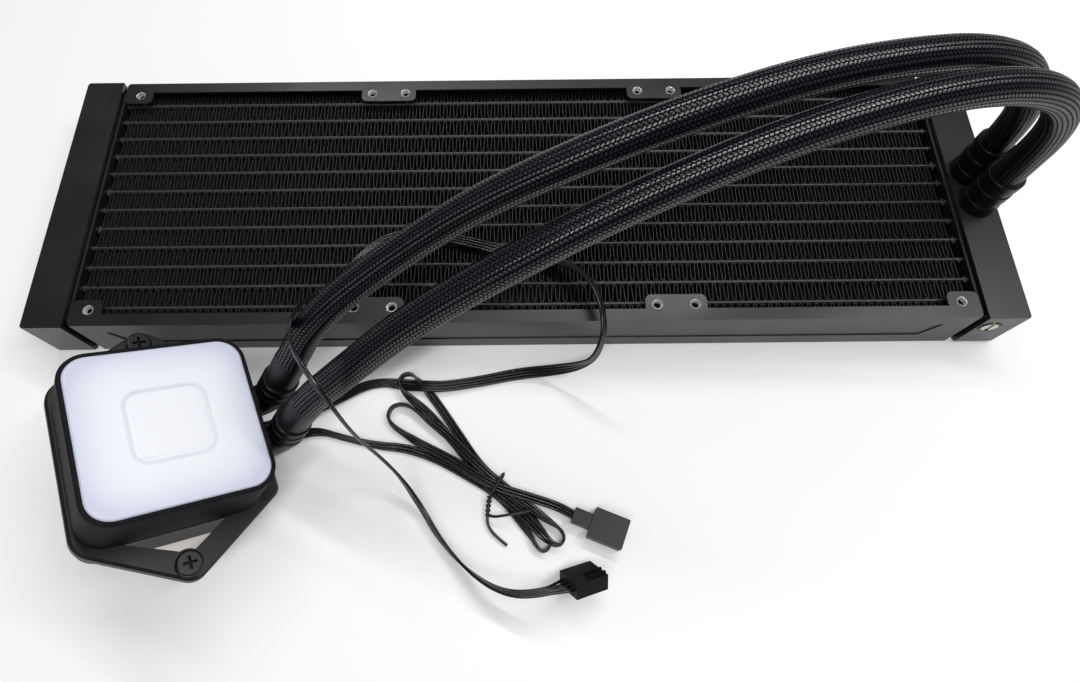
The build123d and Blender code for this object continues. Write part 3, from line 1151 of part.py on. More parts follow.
# The stretch from the hank to the lighting plug
neck_end = light_plug_plane.from_local_coords((neck_end_x, 0, housing_height / 2))
neck_before = light_plug_plane.from_local_coords((neck_end_x - TAIL_LAST_RUN, 0, housing_height / 2))
tail_points = [tail_start, tail_start + tail_way * TAIL_FIRST_RUN, neck_before, neck_end]
cable("light_cable_tail", LIGHT_CABLE_WIDTH, tail_points)
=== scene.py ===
"""Looks of an all in one liquid cooler with a radiator for three fans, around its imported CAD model.

Lengths in the tables are millimetres in the CAD frame; everything handed to Blender is metres.
"""
import math
import random

import bpy
from mathutils import Matrix, Vector


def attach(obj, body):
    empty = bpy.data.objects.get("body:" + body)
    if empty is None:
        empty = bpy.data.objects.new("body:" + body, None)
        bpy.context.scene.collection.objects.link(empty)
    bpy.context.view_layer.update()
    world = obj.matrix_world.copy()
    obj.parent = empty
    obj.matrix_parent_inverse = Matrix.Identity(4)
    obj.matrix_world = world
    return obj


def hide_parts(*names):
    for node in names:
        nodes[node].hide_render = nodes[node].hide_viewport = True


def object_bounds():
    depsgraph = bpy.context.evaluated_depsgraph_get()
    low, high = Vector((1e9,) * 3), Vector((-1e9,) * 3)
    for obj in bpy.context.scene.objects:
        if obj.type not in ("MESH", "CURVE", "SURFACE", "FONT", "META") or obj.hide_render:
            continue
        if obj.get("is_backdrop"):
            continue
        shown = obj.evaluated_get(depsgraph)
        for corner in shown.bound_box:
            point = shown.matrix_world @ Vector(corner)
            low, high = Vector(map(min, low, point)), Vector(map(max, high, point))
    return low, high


MM = 0.001

# The radiator in millimetres: flat tubes with a row of folded fins on each side of every one
RADIATOR_HEIGHT = 27.0
TUBE_COUNT = 12
ROW_PITCH = 9.092
CORE_LENGTH = 356
CORE_LOW, CORE_HIGH = 4.3, 22.7
FIN_LEGS = 230
FIN_PITCH = CORE_LENGTH / FIN_LEGS

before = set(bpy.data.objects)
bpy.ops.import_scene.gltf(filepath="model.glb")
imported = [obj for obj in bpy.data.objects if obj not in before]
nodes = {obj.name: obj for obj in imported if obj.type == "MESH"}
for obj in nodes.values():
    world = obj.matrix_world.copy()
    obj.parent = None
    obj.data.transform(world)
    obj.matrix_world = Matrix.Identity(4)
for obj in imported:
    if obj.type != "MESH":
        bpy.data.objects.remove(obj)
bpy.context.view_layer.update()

# ---------------------------------------------------------------- camera
lens = bpy.data.cameras.new("camera")
lens.sensor_width = 36
lens.lens = 23.941
lens.shift_x = 0.02352
lens.shift_y = -0.04388
lens.clip_start = 0.01
camera = bpy.data.objects.new("camera", lens)
bpy.context.scene.collection.objects.link(camera)
camera_axes = Matrix(((0.9999475, 0.00999386, 0.0022648),
                      (-0.00825153, 0.91633667, -0.40032365),
                      (-0.0060761, 0.40028394, 0.91637102)))
camera.matrix_world = Matrix.Translation((-0.003198, -0.161602, 0.288705)) @ camera_axes.to_4x4()
bpy.context.scene.camera = camera

# ---------------------------------------------------------------- the pump head's own frame
PUMP_X = Vector((0.77205785, 0.32030821, -0.54893471))
PUMP_Y = Vector((-0.39210942, 0.91979989, -0.01477717))
PUMP_OUT = Vector((0.50017684, 0.22665131, 0.8357346))
PUMP_MIDDLE = Vector((-118.9, -103.9, 52.9))


def pump(x, y, z):
    """The place in the CAD frame of a place in the pump head's frame, both in millimetres."""
    return PUMP_MIDDLE + x * PUMP_X + y * PUMP_Y + z * PUMP_OUT


# ---------------------------------------------------------------- routes of the hoses and cables
FRONT_HOSE = [pump(39.6, -8.4, -6.6), pump(39.6, -8.4, 14.9), (-61, -91, 62), (-36, -81, 84),
              (-3, -71, 105), (30, -59, 117), (65, -47, 125), (98, -36, 127), (128, -27.5, 125),
              (152, -21.5, 117.5), (171, -16, 104), (184, -11.5, 83.5), (190, -7.6, 57.5),
              (190, -7.6, 30.5)]
REAR_HOSE = [pump(39.6, 8.4, -6.6), pump(39.6, 8.4, 14.9), (-72, -71, 63), (-45, -58, 80),
             (-15, -49, 100), (17, -44, 118), (48, -36, 127), (82, -24, 127), (112, -16, 124.5),
             (139, -9, 118.5), (162, -3, 105.5), (179, 2.5, 84), (190, 7.6, 57.5),
             (190, 7.6, 30.5)]

# Each cable place may carry the way that the ribbon's flat side faces there
UP = (0, 0, 1)
PUMP_CABLE = [
    (pump(31, 2.7, -30), UP), (pump(40, 2.7, -30), UP), ((-95, -91, 2.2), UP), ((-84, -86, 1.2), UP),
    ((-73, -80, 1.2), (0.5, -0.6, 0.6)), ((-61, -75.5, 1.6), (0.4, -0.8, 0.5)),
    ((-48, -77, 1.2), UP), ((-40.5, -77.8, 2.6), UP), ((-33, -78, 2.2), UP),
    ((-18, -75.5, 1.2), UP), ((-3, -72.5, 1.4), (0, -0.3, 1)), ((11, -72.5, 5.5), (0, -0.6, 0.8)),
    ((21.5, -74, 15.5), (0.2, -0.8, 0.6)), ((27.5, -74, 27), (0.75, -0.55, 0.35)),
    ((30.5, -65, 37), (0.9, 0, 0.4)), ((27.5, -48, 36.5), (0.75, 0.3, 0.6)),
    ((19, -36, 30), (0.3, 0.4, 0.85)),
    ((5, -30, 26), UP), ((-10, -26.5, 25.2), UP), ((-26, -22, 25.2), UP), ((-41, -18.5, 25.2), UP),
    ((-55, -20, 25.4), UP), ((-66, -28.5, 26.5), (-0.4, 0.3, 0.8)), ((-73, -41, 30), (-0.6, 0.5, 0.6)),
    ((-80.5, -52, 38), (-0.6, 0.6, 0.6)), ((-82, -62.5, 51), (-0.7, 0.4, 0.6)),
    ((-78.9, -74.5, 66), (-0.9, 0, 0.45)), ((-75.7, -84, 72), (-0.9, -0.4, 0.25)),
    ((-70.1, -92.4, 75), (-0.8, -0.6, 0.2)), ((-63, -101.5, 70.5), (-0.75, -0.65, 0.2)),
    ((-59, -107, 58), (-0.75, -0.65, 0.1)), ((-57.5, -108.5, 42.5), (-0.65, -0.75, 0)),
    ((-54, -110.5, 26), (-0.65, -0.75, 0)), ((-48, -115.5, 11.5), (-0.75, -0.65, 0.1)),
    ((-40.5, -126, 3.8), (-0.8, -0.55, 0.35)), ((-33, -138, 3), (-0.8, -0.6, 0.35)),
    ((-22.5, -149, 4), (-0.65, -0.75, 0.1)), ((-9.5, -157, 12.9), (-0.3, -0.9, -0.15)),
    ((3.89, -157.64, 16.51), (0, -0.84, -0.54)), ((14.34, -154.45, 11.55), (0, -0.84, -0.54))]
LIGHT_CABLE = [
    (pump(31, -2.7, -30), UP), (pump(40, -2.7, -30), UP), ((-94, -98.5, 1.8), UP),
    ((-84, -95.5, 2.2), (0.2, -0.9, 0.4)), ((-72, -99, 2.2), (0.3, -0.9, 0.4)),
    ((-59, -102, 1.6), (0.2, -0.5, 0.8)), ((-47, -103, 1.2), UP), ((-34.1, -107.8, 1.1), UP),
    ((-22, -114.6, 1.0), UP),
    # first pass of the tie, lower fold and back
    ((-12.8, -120, 0.85), UP), ((-6.6, -125.6, 1.0), UP), ((-2, -131.8, 1.5), (-0.6, -0.3, 0.7)),
    ((1.6, -137, 2.1), (-1, -0.6, 0.2)), ((3.4, -140.7, 2.2), (-1, -0.6, 0)),
    ((6.1, -142.9, 2.2), (0, -1, 0)), ((8.9, -140.7, 2.2), (1, -0.2, 0)),
    ((8, -137, 2.1), (1, 0.5, 0.2)),
    ((4.8, -133.4, 1.5), (0.6, 0.5, 0.7)), ((0.3, -128.2, 1.1), UP), ((-5, -122.6, 0.9), UP),
    # second pass, upper long loop and back over the pump's cable
    ((-10, -117.4, 0.85), UP), ((-16.1, -112.2, 1.0), UP), ((-21.1, -106.3, 1.1), UP),
    ((-25, -100.4, 1.1), UP), ((-29.3, -94.3, 1.1), UP), ((-33.5, -88.1, 1.0), UP),
    ((-37.3, -82.9, 0.9), UP), ((-40.8, -78.6, 1.2), (0.4, 0.3, 0.9)),
    ((-43.8, -75.4, 3.4), (0.6, 0.8, 0.4)), ((-46.7, -73, 4.4), (0.3, 1, 0)),
    ((-50.2, -73.5, 4.6), (-0.6, 1, 0)), ((-51.7, -76.6, 4.6), (-1, 0, 0)),
    ((-50.3, -80, 4.3), (-0.9, -0.5, 0.2)), ((-46.3, -83.6, 3.6), (-0.4, -0.4, 0.8)),
    ((-39.6, -88.8, 2.8), UP), ((-32.3, -96.8, 2.3), UP), ((-25.1, -105.3, 2.2), UP),
    ((-18.8, -113.3, 2.2), UP),
    # third pass, lower wide loop and back
    ((-12.8, -120, 2.15), UP), ((-4.2, -126.4, 2.6), UP), ((1, -131.6, 3.6), UP),
    ((5.6, -136.6, 4.6), (-0.2, -0.2, 1)), ((9.4, -139.9, 3.6), (-0.5, -0.8, 0.4)),
    ((12.4, -140.6, 2.6), (0.2, -1, 0)), ((14.4, -137.8, 2.4), (1, -0.1, 0)),
    ((12.8, -134.4, 2.3), (0.8, 0.6, 0)),
    ((9.4, -132, 2.1), (0.5, 0.7, 0.4)), ((3.6, -128, 1.8), (0.2, 0.3, 0.9)), ((-2.5, -123.4, 1.9), UP),
    # fourth pass, upper open loop and back
    ((-10, -117.4, 2.15), UP), ((-17.6, -111.4, 3.2), UP), ((-25.1, -104.4, 3.6), UP),
    ((-31.3, -98.2, 3.7), UP), ((-38.5, -92.4, 3.4), (0, 0.3, 1)),
    ((-43.8, -88.2, 2.8), (0.5, 0.8, 0.4)),
    ((-49.5, -85, 2.5), (0.2, 1, 0)), ((-54.6, -86.2, 2.4), (-0.8, 0.8, 0)),
    ((-56, -91.2, 2.4), (-1, -0.5, 0)), ((-52.6, -94.9, 2.3), (-0.6, -0.8, 0.2)),
    ((-47.4, -98.2, 2.1), (-0.5, -0.8, 0.4)), ((-41.2, -102, 2.2), (-0.3, -0.5, 0.8)),
    ((-34.1, -105.5, 2.6), UP), ((-27, -109.3, 3.1), UP), ((-18.5, -114.8, 3.4), UP),
    # last pass, out to the plug
    ((-11.4, -118.7, 3.45), UP), ((-6.4, -120.4, 3.4), UP), ((0.6, -122.4, 2.9), UP),
    ((10.5, -125.6, 2.6), UP), ((14.4, -127.4, 3), UP), ((18.2, -129.7, 3.4), UP)]


# ---------------------------------------------------------------- lines and the ways that they face
SAME_PLACE = 1e-6
FACING_PASSES = 6


def spline_places(places, fineness=10):
    """Places in metres along the smooth line that has the given places as control points."""
    curve = bpy.data.curves.new("route", "CURVE")
    curve.dimensions = "3D"
    curve.resolution_u = fineness
    spline = curve.splines.new("NURBS")
    spline.points.add(len(places) - 1)
    for point, place in zip(spline.points, places):
        point.co = (*(c * MM for c in place), 1)
    spline.order_u = 3
    spline.use_endpoint_u = True
    holder = bpy.data.objects.new("route", curve)
    mesh = bpy.data.meshes.new_from_object(holder)
    found = [v.co.copy() for v in mesh.vertices]
    bpy.data.objects.remove(holder)
    bpy.data.meshes.remove(mesh)
    bpy.data.curves.remove(curve)
    return [a for a, b in zip(found, found[1:]) if (a - b).length > SAME_PLACE] + found[-1:]


def lengths_along(places):
    """The line's length from its start to each place."""
    total = [0.0]
    for a, b in zip(places, places[1:]):
        total.append(total[-1] + (b - a).length)
    return total


def ways(places):
    """The line's direction at each place."""
    last = len(places) - 1
    return [(places[min(i + 1, last)] - places[max(i - 1, 0)]).normalized() for i in range(last + 1)]


def carried_sides(places, first):
    """A side vector at each place, turned along the line as little as it can be."""
    side = Vector(first)
    found = []
    for way in ways(places):
        side = (side - way * side.dot(way)).normalized()
        found.append(side)
    return found


def faced_sides(places, facings):
    """A ribbon's side vectors, from the way that its flat side faces at each control point."""
    found = []
    last = len(places) - 1
    for i, way in enumerate(ways(places)):
        at = i / last * (len(facings) - 1)
        low = min(int(at), len(facings) - 2)
        face = Vector(facings[low]).normalized().lerp(Vector(facings[low + 1]).normalized(), at - low)
        found.append(way.cross(face).normalized())
    for _ in range(FACING_PASSES):
        found = [(found[max(i - 1, 0)] + found[i] * 2 + found[min(i + 1, last)]).normalized()
                 for i in range(last + 1)]
    return [(s - w * s.dot(w)).normalized() for s, w in zip(found, ways(places))]


def turned(side, other, turn):
    """The way that lies the given angle round from side towards other."""
    return side * math.cos(turn) + other * math.sin(turn)


def lattice(base, rings, around):
    """Ring number, step round it and corner numbers of each face between rings of vertices."""
    for i in range(rings - 1):
        for k in range(around):
            j = (k + 1) % around
            yield i, k, (base + i * around + k, base + i * around + j,
                         base + (i + 1) * around + j, base + (i + 1) * around + k)


# ---------------------------------------------------------------- meshes
UV_PER_METRE = 100


class Shape:
    """Collects vertices, faces, UVs and material numbers for one mesh."""

    def __init__(self):
        self.verts, self.faces, self.uvs, self.marks = [], [], [], []

    def face(self, corners, uvs=None, mark=0):
        """Adds a face by its vertices' numbers; mark is its material's number."""
        self.faces.append(corners)
        self.uvs.append(uvs or [(0, 0)] * len(corners))
        self.marks.append(mark)

    def tube(self, places, sides, radius, around, mark=lambda v: 0):
        """A closed tube along the places; radius is a number or a function of the length so far.

        Its UVs run once round it, and along it in centimetres.
        """
        size = radius if callable(radius) else lambda v: radius
        along = lengths_along(places)
        base = len(self.verts)
        for place, side, way, v in zip(places, sides, ways(places), along):
            other = way.cross(side)
            for k in range(around):
                self.verts.append(place + turned(side, other, 2 * math.pi * k / around) * size(v))
        for i, k, corners in lattice(base, len(places), around):
            v0, v1 = along[i] * UV_PER_METRE, along[i + 1] * UV_PER_METRE
            u0, u1 = k / around, (k + 1) / around
            self.face(corners, [(u0, v0), (u1, v0), (u1, v1), (u0, v1)], mark(along[i]))
        self.face(tuple(base + k for k in reversed(range(around))))
        end = base + (len(places) - 1) * around
        self.face(tuple(end + k for k in range(around)))

    def ring(self, outline, origin, axis, around):
        """Turns (radius, height) places round an axis."""
        up = Vector(axis).normalized()
        side = up.orthogonal().normalized()
        other = up.cross(side)
        base = len(self.verts)
        for r, h in outline:
            for k in range(around):
                self.verts.append(Vector(origin) + up * h
                                  + turned(side, other, 2 * math.pi * k / around) * r)
        for _, _, corners in lattice(base, len(outline), around):
            self.face(corners)

    def piece(self, name, *materials, smooth=True):
        """The collected mesh as an object in the scene."""
        mesh = bpy.data.meshes.new(name)
        mesh.from_pydata(self.verts, [], self.faces)
        layer = mesh.uv_layers.new(name="along")
        layer.data.foreach_set("uv", [c for uvs in self.uvs for uv in uvs for c in uv])
        mesh.polygons.foreach_set("material_index", self.marks)
        mesh.polygons.foreach_set("use_smooth", [smooth] * len(self.faces))
        for m in materials:
            mesh.materials.append(m)
        mesh.update()
        made = bpy.data.objects.new(name, mesh)
        bpy.context.scene.collection.objects.link(made)
        return made


# ---------------------------------------------------------------- materials
# Lengths in millimetres
BROAD_GRAIN = 22
CAP_HALF = 28.5
RING_HALF, RING_CORNER = 12.75, 5
SCREW_ALONG, SCREW_OVER = 42.3, 0.7
RECESS_RADIUS, RECESS_TOP = 2.7, -19.95
PLUG_X, PLUG_Z = 186.6, 18
SLIT_PITCH = 1.3
# The weave: columns round the hose, bundles along each centimetre, their slant and the yarns in one
BRAID_COLUMNS = 26
BUNDLES_PER_CM = 6.9
BRAID_SLANT = 0.5
YARNS = 5


class Paint:
    """One node material, built up from its principled shader. Lengths in its nodes are metres."""

    def __init__(self, name, **sockets):
        self.mat = bpy.data.materials.new(name)
        self.mat.use_nodes = True
        self.tree = self.mat.node_tree
        self.shader = self.tree.nodes["Principled BSDF"]
        for key, value in sockets.items():
            self.shader.inputs[key.replace("_", " ")].default_value = value

    def put(self, kind, values=(), **settings):
        """Adds a shader node, with sockets linked or set from values and properties from settings."""
        made = self.tree.nodes.new("ShaderNode" + kind)
        for key, value in settings.items():
            setattr(made, key, value)
        for key, value in dict(values).items():
            if isinstance(value, bpy.types.NodeSocket):
                self.tree.links.new(value, made.inputs[key])
            else:
                made.inputs[key].default_value = value
        return made

    def math(self, what, *values):
        return self.put("Math", dict(enumerate(values)), operation=what).outputs[0]

    def place(self):
        return self.put("TexCoord").outputs["Object"]

    def noise(self, scale, detail=3.0, vector=None):
        return self.put("TexNoise", {"Scale": scale, "Detail": detail,
                                     "Vector": vector or self.place()}).outputs["Fac"]

    def between(self, fac, low, high):
        """Spreads the middle of a noise over the range from low to high."""
        return self.put("MapRange", {"Value": fac, "From Min": 0.3, "From Max": 0.7,
                                     "To Min": low, "To Max": high}).outputs[0]

    def blend(self, fac, low, high):
        """A colour ramp; its first output is the colour."""
        ramp = self.put("ValToRGB", {"Fac": fac})
        ramp.color_ramp.elements[0].color = (*low, 1)
        ramp.color_ramp.elements[1].color = (*high, 1)
        return ramp

    def bump(self, height, strength, depth, under=None):
        """A normal from a height, on top of another normal if one is given. depth is in mm."""
        values = {"Height": height, "Strength": strength, "Distance": depth * MM}
        if under:
            values["Normal"] = under
        return self.put("Bump", values).outputs[0]

    def link(self, output, socket):
        self.tree.links.new(output, self.shader.inputs[socket])

    def distance(self, across, over):
        """The length of the vector with the two given parts."""
        squares = self.math("MULTIPLY_ADD", across, across, self.math("MULTIPLY", over, over))
        return self.math("SQRT", squares)

    def from_pump(self, *axes):
        """How far each spot lies from the pump's middle along each of the given axes."""
        spot = self.put("VectorMath", {0: self.place(), 1: PUMP_MIDDLE * MM},
                        operation="SUBTRACT").outputs[0]
        return [self.put("VectorMath", {0: spot, 1: axis}, operation="DOT_PRODUCT").outputs["Value"]
                for axis in axes]


def grained(name, colour, rough, grain=1.2, spread=0.2, bump=0.15, depth=0.05, stretch=None,
            **sockets):
    """Moulded, painted or machined stuff: fine grain, slightly uneven colour and gloss.

    grain and depth are in mm, spread and bump are shares, and sockets are the shader's own.
    """
    paint = Paint(name, **sockets)
    vector = paint.place()
    if stretch:
        vector = paint.put("Mapping", {"Vector": vector, "Scale": stretch}).outputs[0]
    fine = paint.noise(1 / (grain * MM), 4, vector)
    broad = paint.noise(1 / (BROAD_GRAIN * MM), 2)
    mixed = paint.math("MULTIPLY_ADD", fine, 0.4, paint.math("MULTIPLY", broad, 0.6))
    ramp = paint.blend(mixed, [c * (1 - spread) for c in colour],
                       [min(c * (1 + spread), 1) for c in colour])
    ramp.color_ramp.elements[0].position = 0.35
    ramp.color_ramp.elements[1].position = 0.65
    paint.link(ramp.outputs[0], "Base Color")
    paint.link(paint.between(mixed, max(rough - 0.06, 0.03), rough + 0.06), "Roughness")
    paint.link(paint.bump(fine, bump, depth), "Normal")
    return paint.mat


def braid(name):
    """Woven sleeve: bundles of yarn that slant one way and then the other, column by column."""
    paint = Paint(name, Anisotropic=0.9)
    uv = paint.put("SeparateXYZ", {0: paint.put("UVMap", uv_map="along").outputs[0]})
    across = paint.math("MULTIPLY", uv.outputs[0], BRAID_COLUMNS)
    x = paint.math("FRACT", across)
    odd = paint.math("MODULO", paint.math("FLOOR", across), 2)
    sign = paint.math("MULTIPLY_ADD", odd, 2, -1)
    slant = paint.math("MULTIPLY", paint.math("MULTIPLY", sign, x), BRAID_SLANT)
    wander = paint.math("MULTIPLY", paint.noise(60, 1), 0.35)
    t = paint.math("ADD", paint.math("MULTIPLY_ADD", uv.outputs[1], BUNDLES_PER_CM, slant), wander)
    f = paint.math("FRACT", t)
    ridge = paint.math("POWER", paint.math("SINE", paint.math("MULTIPLY", f, math.pi)), 0.4)
    side = paint.math("POWER", paint.math("SINE", paint.math("MULTIPLY", x, math.pi)), 0.35)
    height = paint.math("MULTIPLY", ridge, side)
    yarn = paint.math("SINE", paint.math("MULTIPLY", t, 2 * math.pi * YARNS))
    colour = paint.blend(height, (0.0005, 0.0005, 0.0008), (0.0035, 0.0041, 0.0095))
    colour.color_ramp.elements[0].position = 0.35
    paint.link(colour.outputs[0], "Base Color")
    rough = paint.put("MapRange", {"Value": height, "To Min": 0.6, "To Max": 0.26}).outputs[0]
    paint.link(rough, "Roughness")
    shine = paint.put("MapRange", {"Value": height, "From Min": 0.55, "From Max": 0.85,
                                   "To Min": 0.03, "To Max": 0.95}).outputs[0]
    paint.link(shine, "Specular IOR Level")
    paint.link(paint.put("Tangent", direction_type="UV_MAP", uv_map="along").outputs[0], "Tangent")
    paint.link(paint.math("MULTIPLY", sign, 0.18), "Anisotropic Rotation")
    coarse = paint.bump(height, 0.45, 0.22)
    paint.link(paint.bump(yarn, 0.05, 0.06, coarse), "Normal")
    return paint.mat


def square_distance(paint, half, corner):
    """How far a spot lies outside a rounded square about the pump's middle, below 0 inside it."""
    past = [paint.math("SUBTRACT", paint.math("ABSOLUTE", along), (half - corner) * MM)
            for along in paint.from_pump(PUMP_X, PUMP_Y)]
    outside = paint.distance(*(paint.math("MAXIMUM", p, 0.0) for p in past))
    inside = paint.math("MINIMUM", paint.math("MAXIMUM", *past), 0.0)
    return paint.math("SUBTRACT", paint.math("ADD", outside, inside), corner * MM)


def frosted():
    """The cap: milky, cool white plastic, with painted shade that greys it towards its edge and along
    the groove of the ring in its middle.
    """
    paint = Paint("cap_milk", Subsurface_Weight=0.35, Subsurface_Scale=0.004, Coat_Weight=0.1,
                  Coat_Roughness=0.3)
    paint.shader.inputs["Subsurface Radius"].default_value = (1, 1, 1)
    fine = paint.noise(1 / (0.35 * MM), 3)
    shares = [paint.math("ABSOLUTE", paint.math("DIVIDE", along, CAP_HALF * MM))
              for along in paint.from_pump(PUMP_X, PUMP_Y)]
    outwards = [paint.math("POWER", share, 4.0) for share in shares]
    inwards = paint.math("SUBTRACT", 1.0, paint.math("ADD", *outwards))
    # Painted shade: the cap's colour greys from its middle towards its edge
    ramp = paint.blend(inwards, (0.62, 0.64, 0.79), (0.91, 0.93, 0.985))
    # Painted shade along the ring's groove
    off_ring = paint.math("ABSOLUTE", square_distance(paint, RING_HALF, RING_CORNER))
    ring = paint.put("MapRange", {"Value": off_ring, "From Min": 0.95 * MM, "From Max": 0.55 * MM},
                     interpolation_type="SMOOTHSTEP").outputs[0]
    shaded_cap_colour = paint.put("MixRGB", {"Fac": ring, "Color1": ramp.outputs[0],
                                  "Color2": (0.79, 0.80, 0.88, 1)})
    paint.link(shaded_cap_colour.outputs[0], "Base Color")
    paint.link(paint.between(fine, 0.34, 0.44), "Roughness")
    paint.link(paint.bump(fine, 0.04, 0.02), "Normal")
    return paint.mat


def recessed(name, colour, rough):
    """Blackened steel, with painted shade in the cross recess of each screw's head."""
    paint = Paint(name, Metallic=0.8)
    depth, along, over = paint.from_pump(PUMP_OUT, PUMP_Y, PUMP_X)
    from_axis = paint.distance(
        paint.math("SUBTRACT", paint.math("ABSOLUTE", along), SCREW_ALONG * MM),
        paint.math("SUBTRACT", over, SCREW_OVER * MM))
    near = paint.math("LESS_THAN", from_axis, RECESS_RADIUS * MM)
    low = paint.math("LESS_THAN", depth, RECESS_TOP * MM)
    fine = paint.noise(1 / (0.6 * MM), 3)
    ramp = paint.blend(fine, [c * 0.8 for c in colour], [c * 1.2 for c in colour])
    # Painted shade: near black where the screw heads' cross recesses lie
    inside = paint.math("MULTIPLY", near, low)
    screw_with_painted_shade = paint.put("MixRGB", {"Fac": inside, "Color1": ramp.outputs[0],
                                  "Color2": (0.003, 0.003, 0.003, 1)})
    paint.link(screw_with_painted_shade.outputs[0], "Base Color")
    paint.link(paint.between(fine, rough - 0.05, rough + 0.05), "Roughness")
    paint.link(paint.bump(fine, 0.12, 0.03), "Normal")
    return paint.mat


def slotted():
    """The filler plug: bright metal in its middle, dark towards its rim."""
    paint = Paint("plug_metal", Metallic=0.85)
    spot = paint.put("SeparateXYZ", {0: paint.place()})
    from_middle = paint.distance(paint.math("SUBTRACT", spot.outputs[0], PLUG_X * MM),
                                 paint.math("SUBTRACT", spot.outputs[2], PLUG_Z * MM))
    inwards = paint.put("MapRange", {"Value": from_middle, "From Min": 3.3 * MM,
                                     "From Max": 2.8 * MM}).outputs[0]
    fine = paint.noise(1 / (0.5 * MM), 3)
    paint.link(paint.blend(inwards, (0.02, 0.019, 0.018), (0.6, 0.57, 0.48)).outputs[0], "Base Color")
    paint.link(paint.between(fine, 0.26, 0.38), "Roughness")
    paint.link(paint.bump(fine, 0.1, 0.03), "Normal")
    return paint.mat


def tube_paint():
    """Flat coolant tubes: black paint, with a painted highlight along the rounded top edge of each tube,
    broken into painted glints at the fin pitch.
    """
    paint = Paint("tube_paint")
    place = paint.put("SeparateXYZ", {0: paint.place()})
    # Whole rows are added so that the count is positive; a tube's middle is at half a row
    row = paint.math("ADD", paint.math("DIVIDE", place.outputs[1], ROW_PITCH * MM), 40.0)
    off = paint.math("ABSOLUTE", paint.math("SUBTRACT", paint.math("FRACT", row), 0.5))
    fine = paint.noise(1 / (1.3 * MM), 4)
    ragged = paint.math("MULTIPLY_ADD", fine, 0.05, off)
    # Painted highlight: the colour brightens along each tube's rounded top edge
    top_edge_highlight = paint.put("MapRange", {"Value": ragged, "From Min": 0.06, "From Max": 0.03}).outputs[0]
    # Painted glints: the painted highlight rises and falls once per fin
    glint_dots = paint.math("SINE", paint.math("MULTIPLY", place.outputs[0], 2 * math.pi / (FIN_PITCH * MM)))
    top_edge_highlight = paint.math("MULTIPLY", top_edge_highlight, paint.math("MULTIPLY_ADD", glint_dots, 0.3, 0.7))
    ramp = paint.blend(top_edge_highlight, (0.005, 0.005, 0.005), (0.06, 0.059, 0.058))
    paint.link(ramp.outputs[0], "Base Color")
    paint.link(paint.between(fine, 0.4, 0.55), "Roughness")
    paint.link(paint.bump(fine, 0.4, 0.12), "Normal")
    return paint.mat


def fin_paint():
    """Thin black-painted strips with the slits that real fins have across them."""
    paint = Paint("fin_paint")
    place = paint.put("SeparateXYZ", {0: paint.place()})
    slit = paint.math("SINE", paint.math("MULTIPLY", place.outputs[2], 2 * math.pi / (SLIT_PITCH * MM)))
    fine = paint.noise(1 / (2.5 * MM), 3)
    ramp = paint.blend(fine, (0.012, 0.0112, 0.0112), (0.03, 0.0278, 0.0272))
    paint.link(ramp.outputs[0], "Base Color")
    paint.link(paint.between(fine, 0.4, 0.6), "Roughness")
    paint.link(paint.bump(slit, 0.3, 0.15), "Normal")
    return paint.mat


BRAID = braid("hose_braid")
COLLAR = grained("hose_collar", (0.004, 0.004, 0.005), 0.4, grain=0.8, bump=0.2, Specular_IOR_Level=0.35)
VINYL = grained("cable_vinyl", (0.006, 0.006, 0.0075), 0.26, grain=1.6, bump=0.12, depth=0.04,
                Coat_Weight=0.15, Coat_Roughness=0.25)
SATIN = grained("radiator_satin", (0.0105, 0.0107, 0.0115), 0.34, grain=0.35, bump=0.16, depth=0.03)
TUBE_PAINT = tube_paint()
FIN_PAINT = fin_paint()
THREAD = grained("thread_metal", (0.86, 0.86, 0.88), 0.28, grain=0.4, bump=0.1, depth=0.02,
                 Metallic=0.3)
GLOSS = grained("fitting_gloss", (0.003, 0.003, 0.0035), 0.38, grain=1.5, bump=0.05, depth=0.02,
                Specular_IOR_Level=0.3)
ELBOW = grained("elbow_plastic", (0.005, 0.005, 0.006), 0.34, grain=0.8, bump=0.1, depth=0.03)
SHROUD = grained("shroud_plastic", (0.0085, 0.0086, 0.0102), 0.6, grain=0.4, bump=0.18, depth=0.03,
                 Specular_IOR_Level=0.08)
BLOCK = grained("block_plastic", (0.008, 0.008, 0.009), 0.5, grain=0.5, bump=0.2, Specular_IOR_Level=0.3)
BRACKET = grained("bracket_paint", (0.0085, 0.0087, 0.0098), 0.4, grain=0.4, bump=0.14, depth=0.03,
                  Specular_IOR_Level=0.35)
DARK_STEEL = recessed("screw_steel_dark", (0.03, 0.03, 0.032), 0.38)
BRIGHT = grained("bright_metal", (0.62, 0.62, 0.63), 0.24, grain=0.5, bump=0.1, depth=0.02, Metallic=1.0)
COPPER = grained("copper", (0.6, 0.31, 0.2), 0.3, grain=0.6, bump=0.12, depth=0.02, stretch=(8, 1, 1),
                 Metallic=1.0)
RUBBER = grained("seal_rubber", (0.012, 0.012, 0.012), 0.7, grain=0.6, bump=0.3)
DARK_PLUG = grained("power_plug_black", (0.004, 0.004, 0.0055), 0.5, grain=0.3, bump=0.2, depth=0.03,
                    Specular_IOR_Level=0.2)
CONNECTOR = grained("connector_black", (0.0075, 0.007, 0.011), 0.5, grain=0.45, spread=0.6, bump=0.6,
                    depth=0.08)
TIN = grained("contact_tin", (0.6, 0.58, 0.54), 0.3, grain=0.5, Metallic=1.0)
TIE = grained("tie_sleeve", (0.012, 0.012, 0.013), 0.38, grain=0.5, bump=0.2)
SOLDER = grained("header_solder", (0.007, 0.007, 0.007), 0.55, grain=0.9, spread=0.4, bump=0.5,
                 depth=0.15)
CAP = frosted()
PLUG = slotted()
BOARD = grained("circuit_board", (0.02, 0.09, 0.045), 0.4, grain=2.0, spread=0.4)
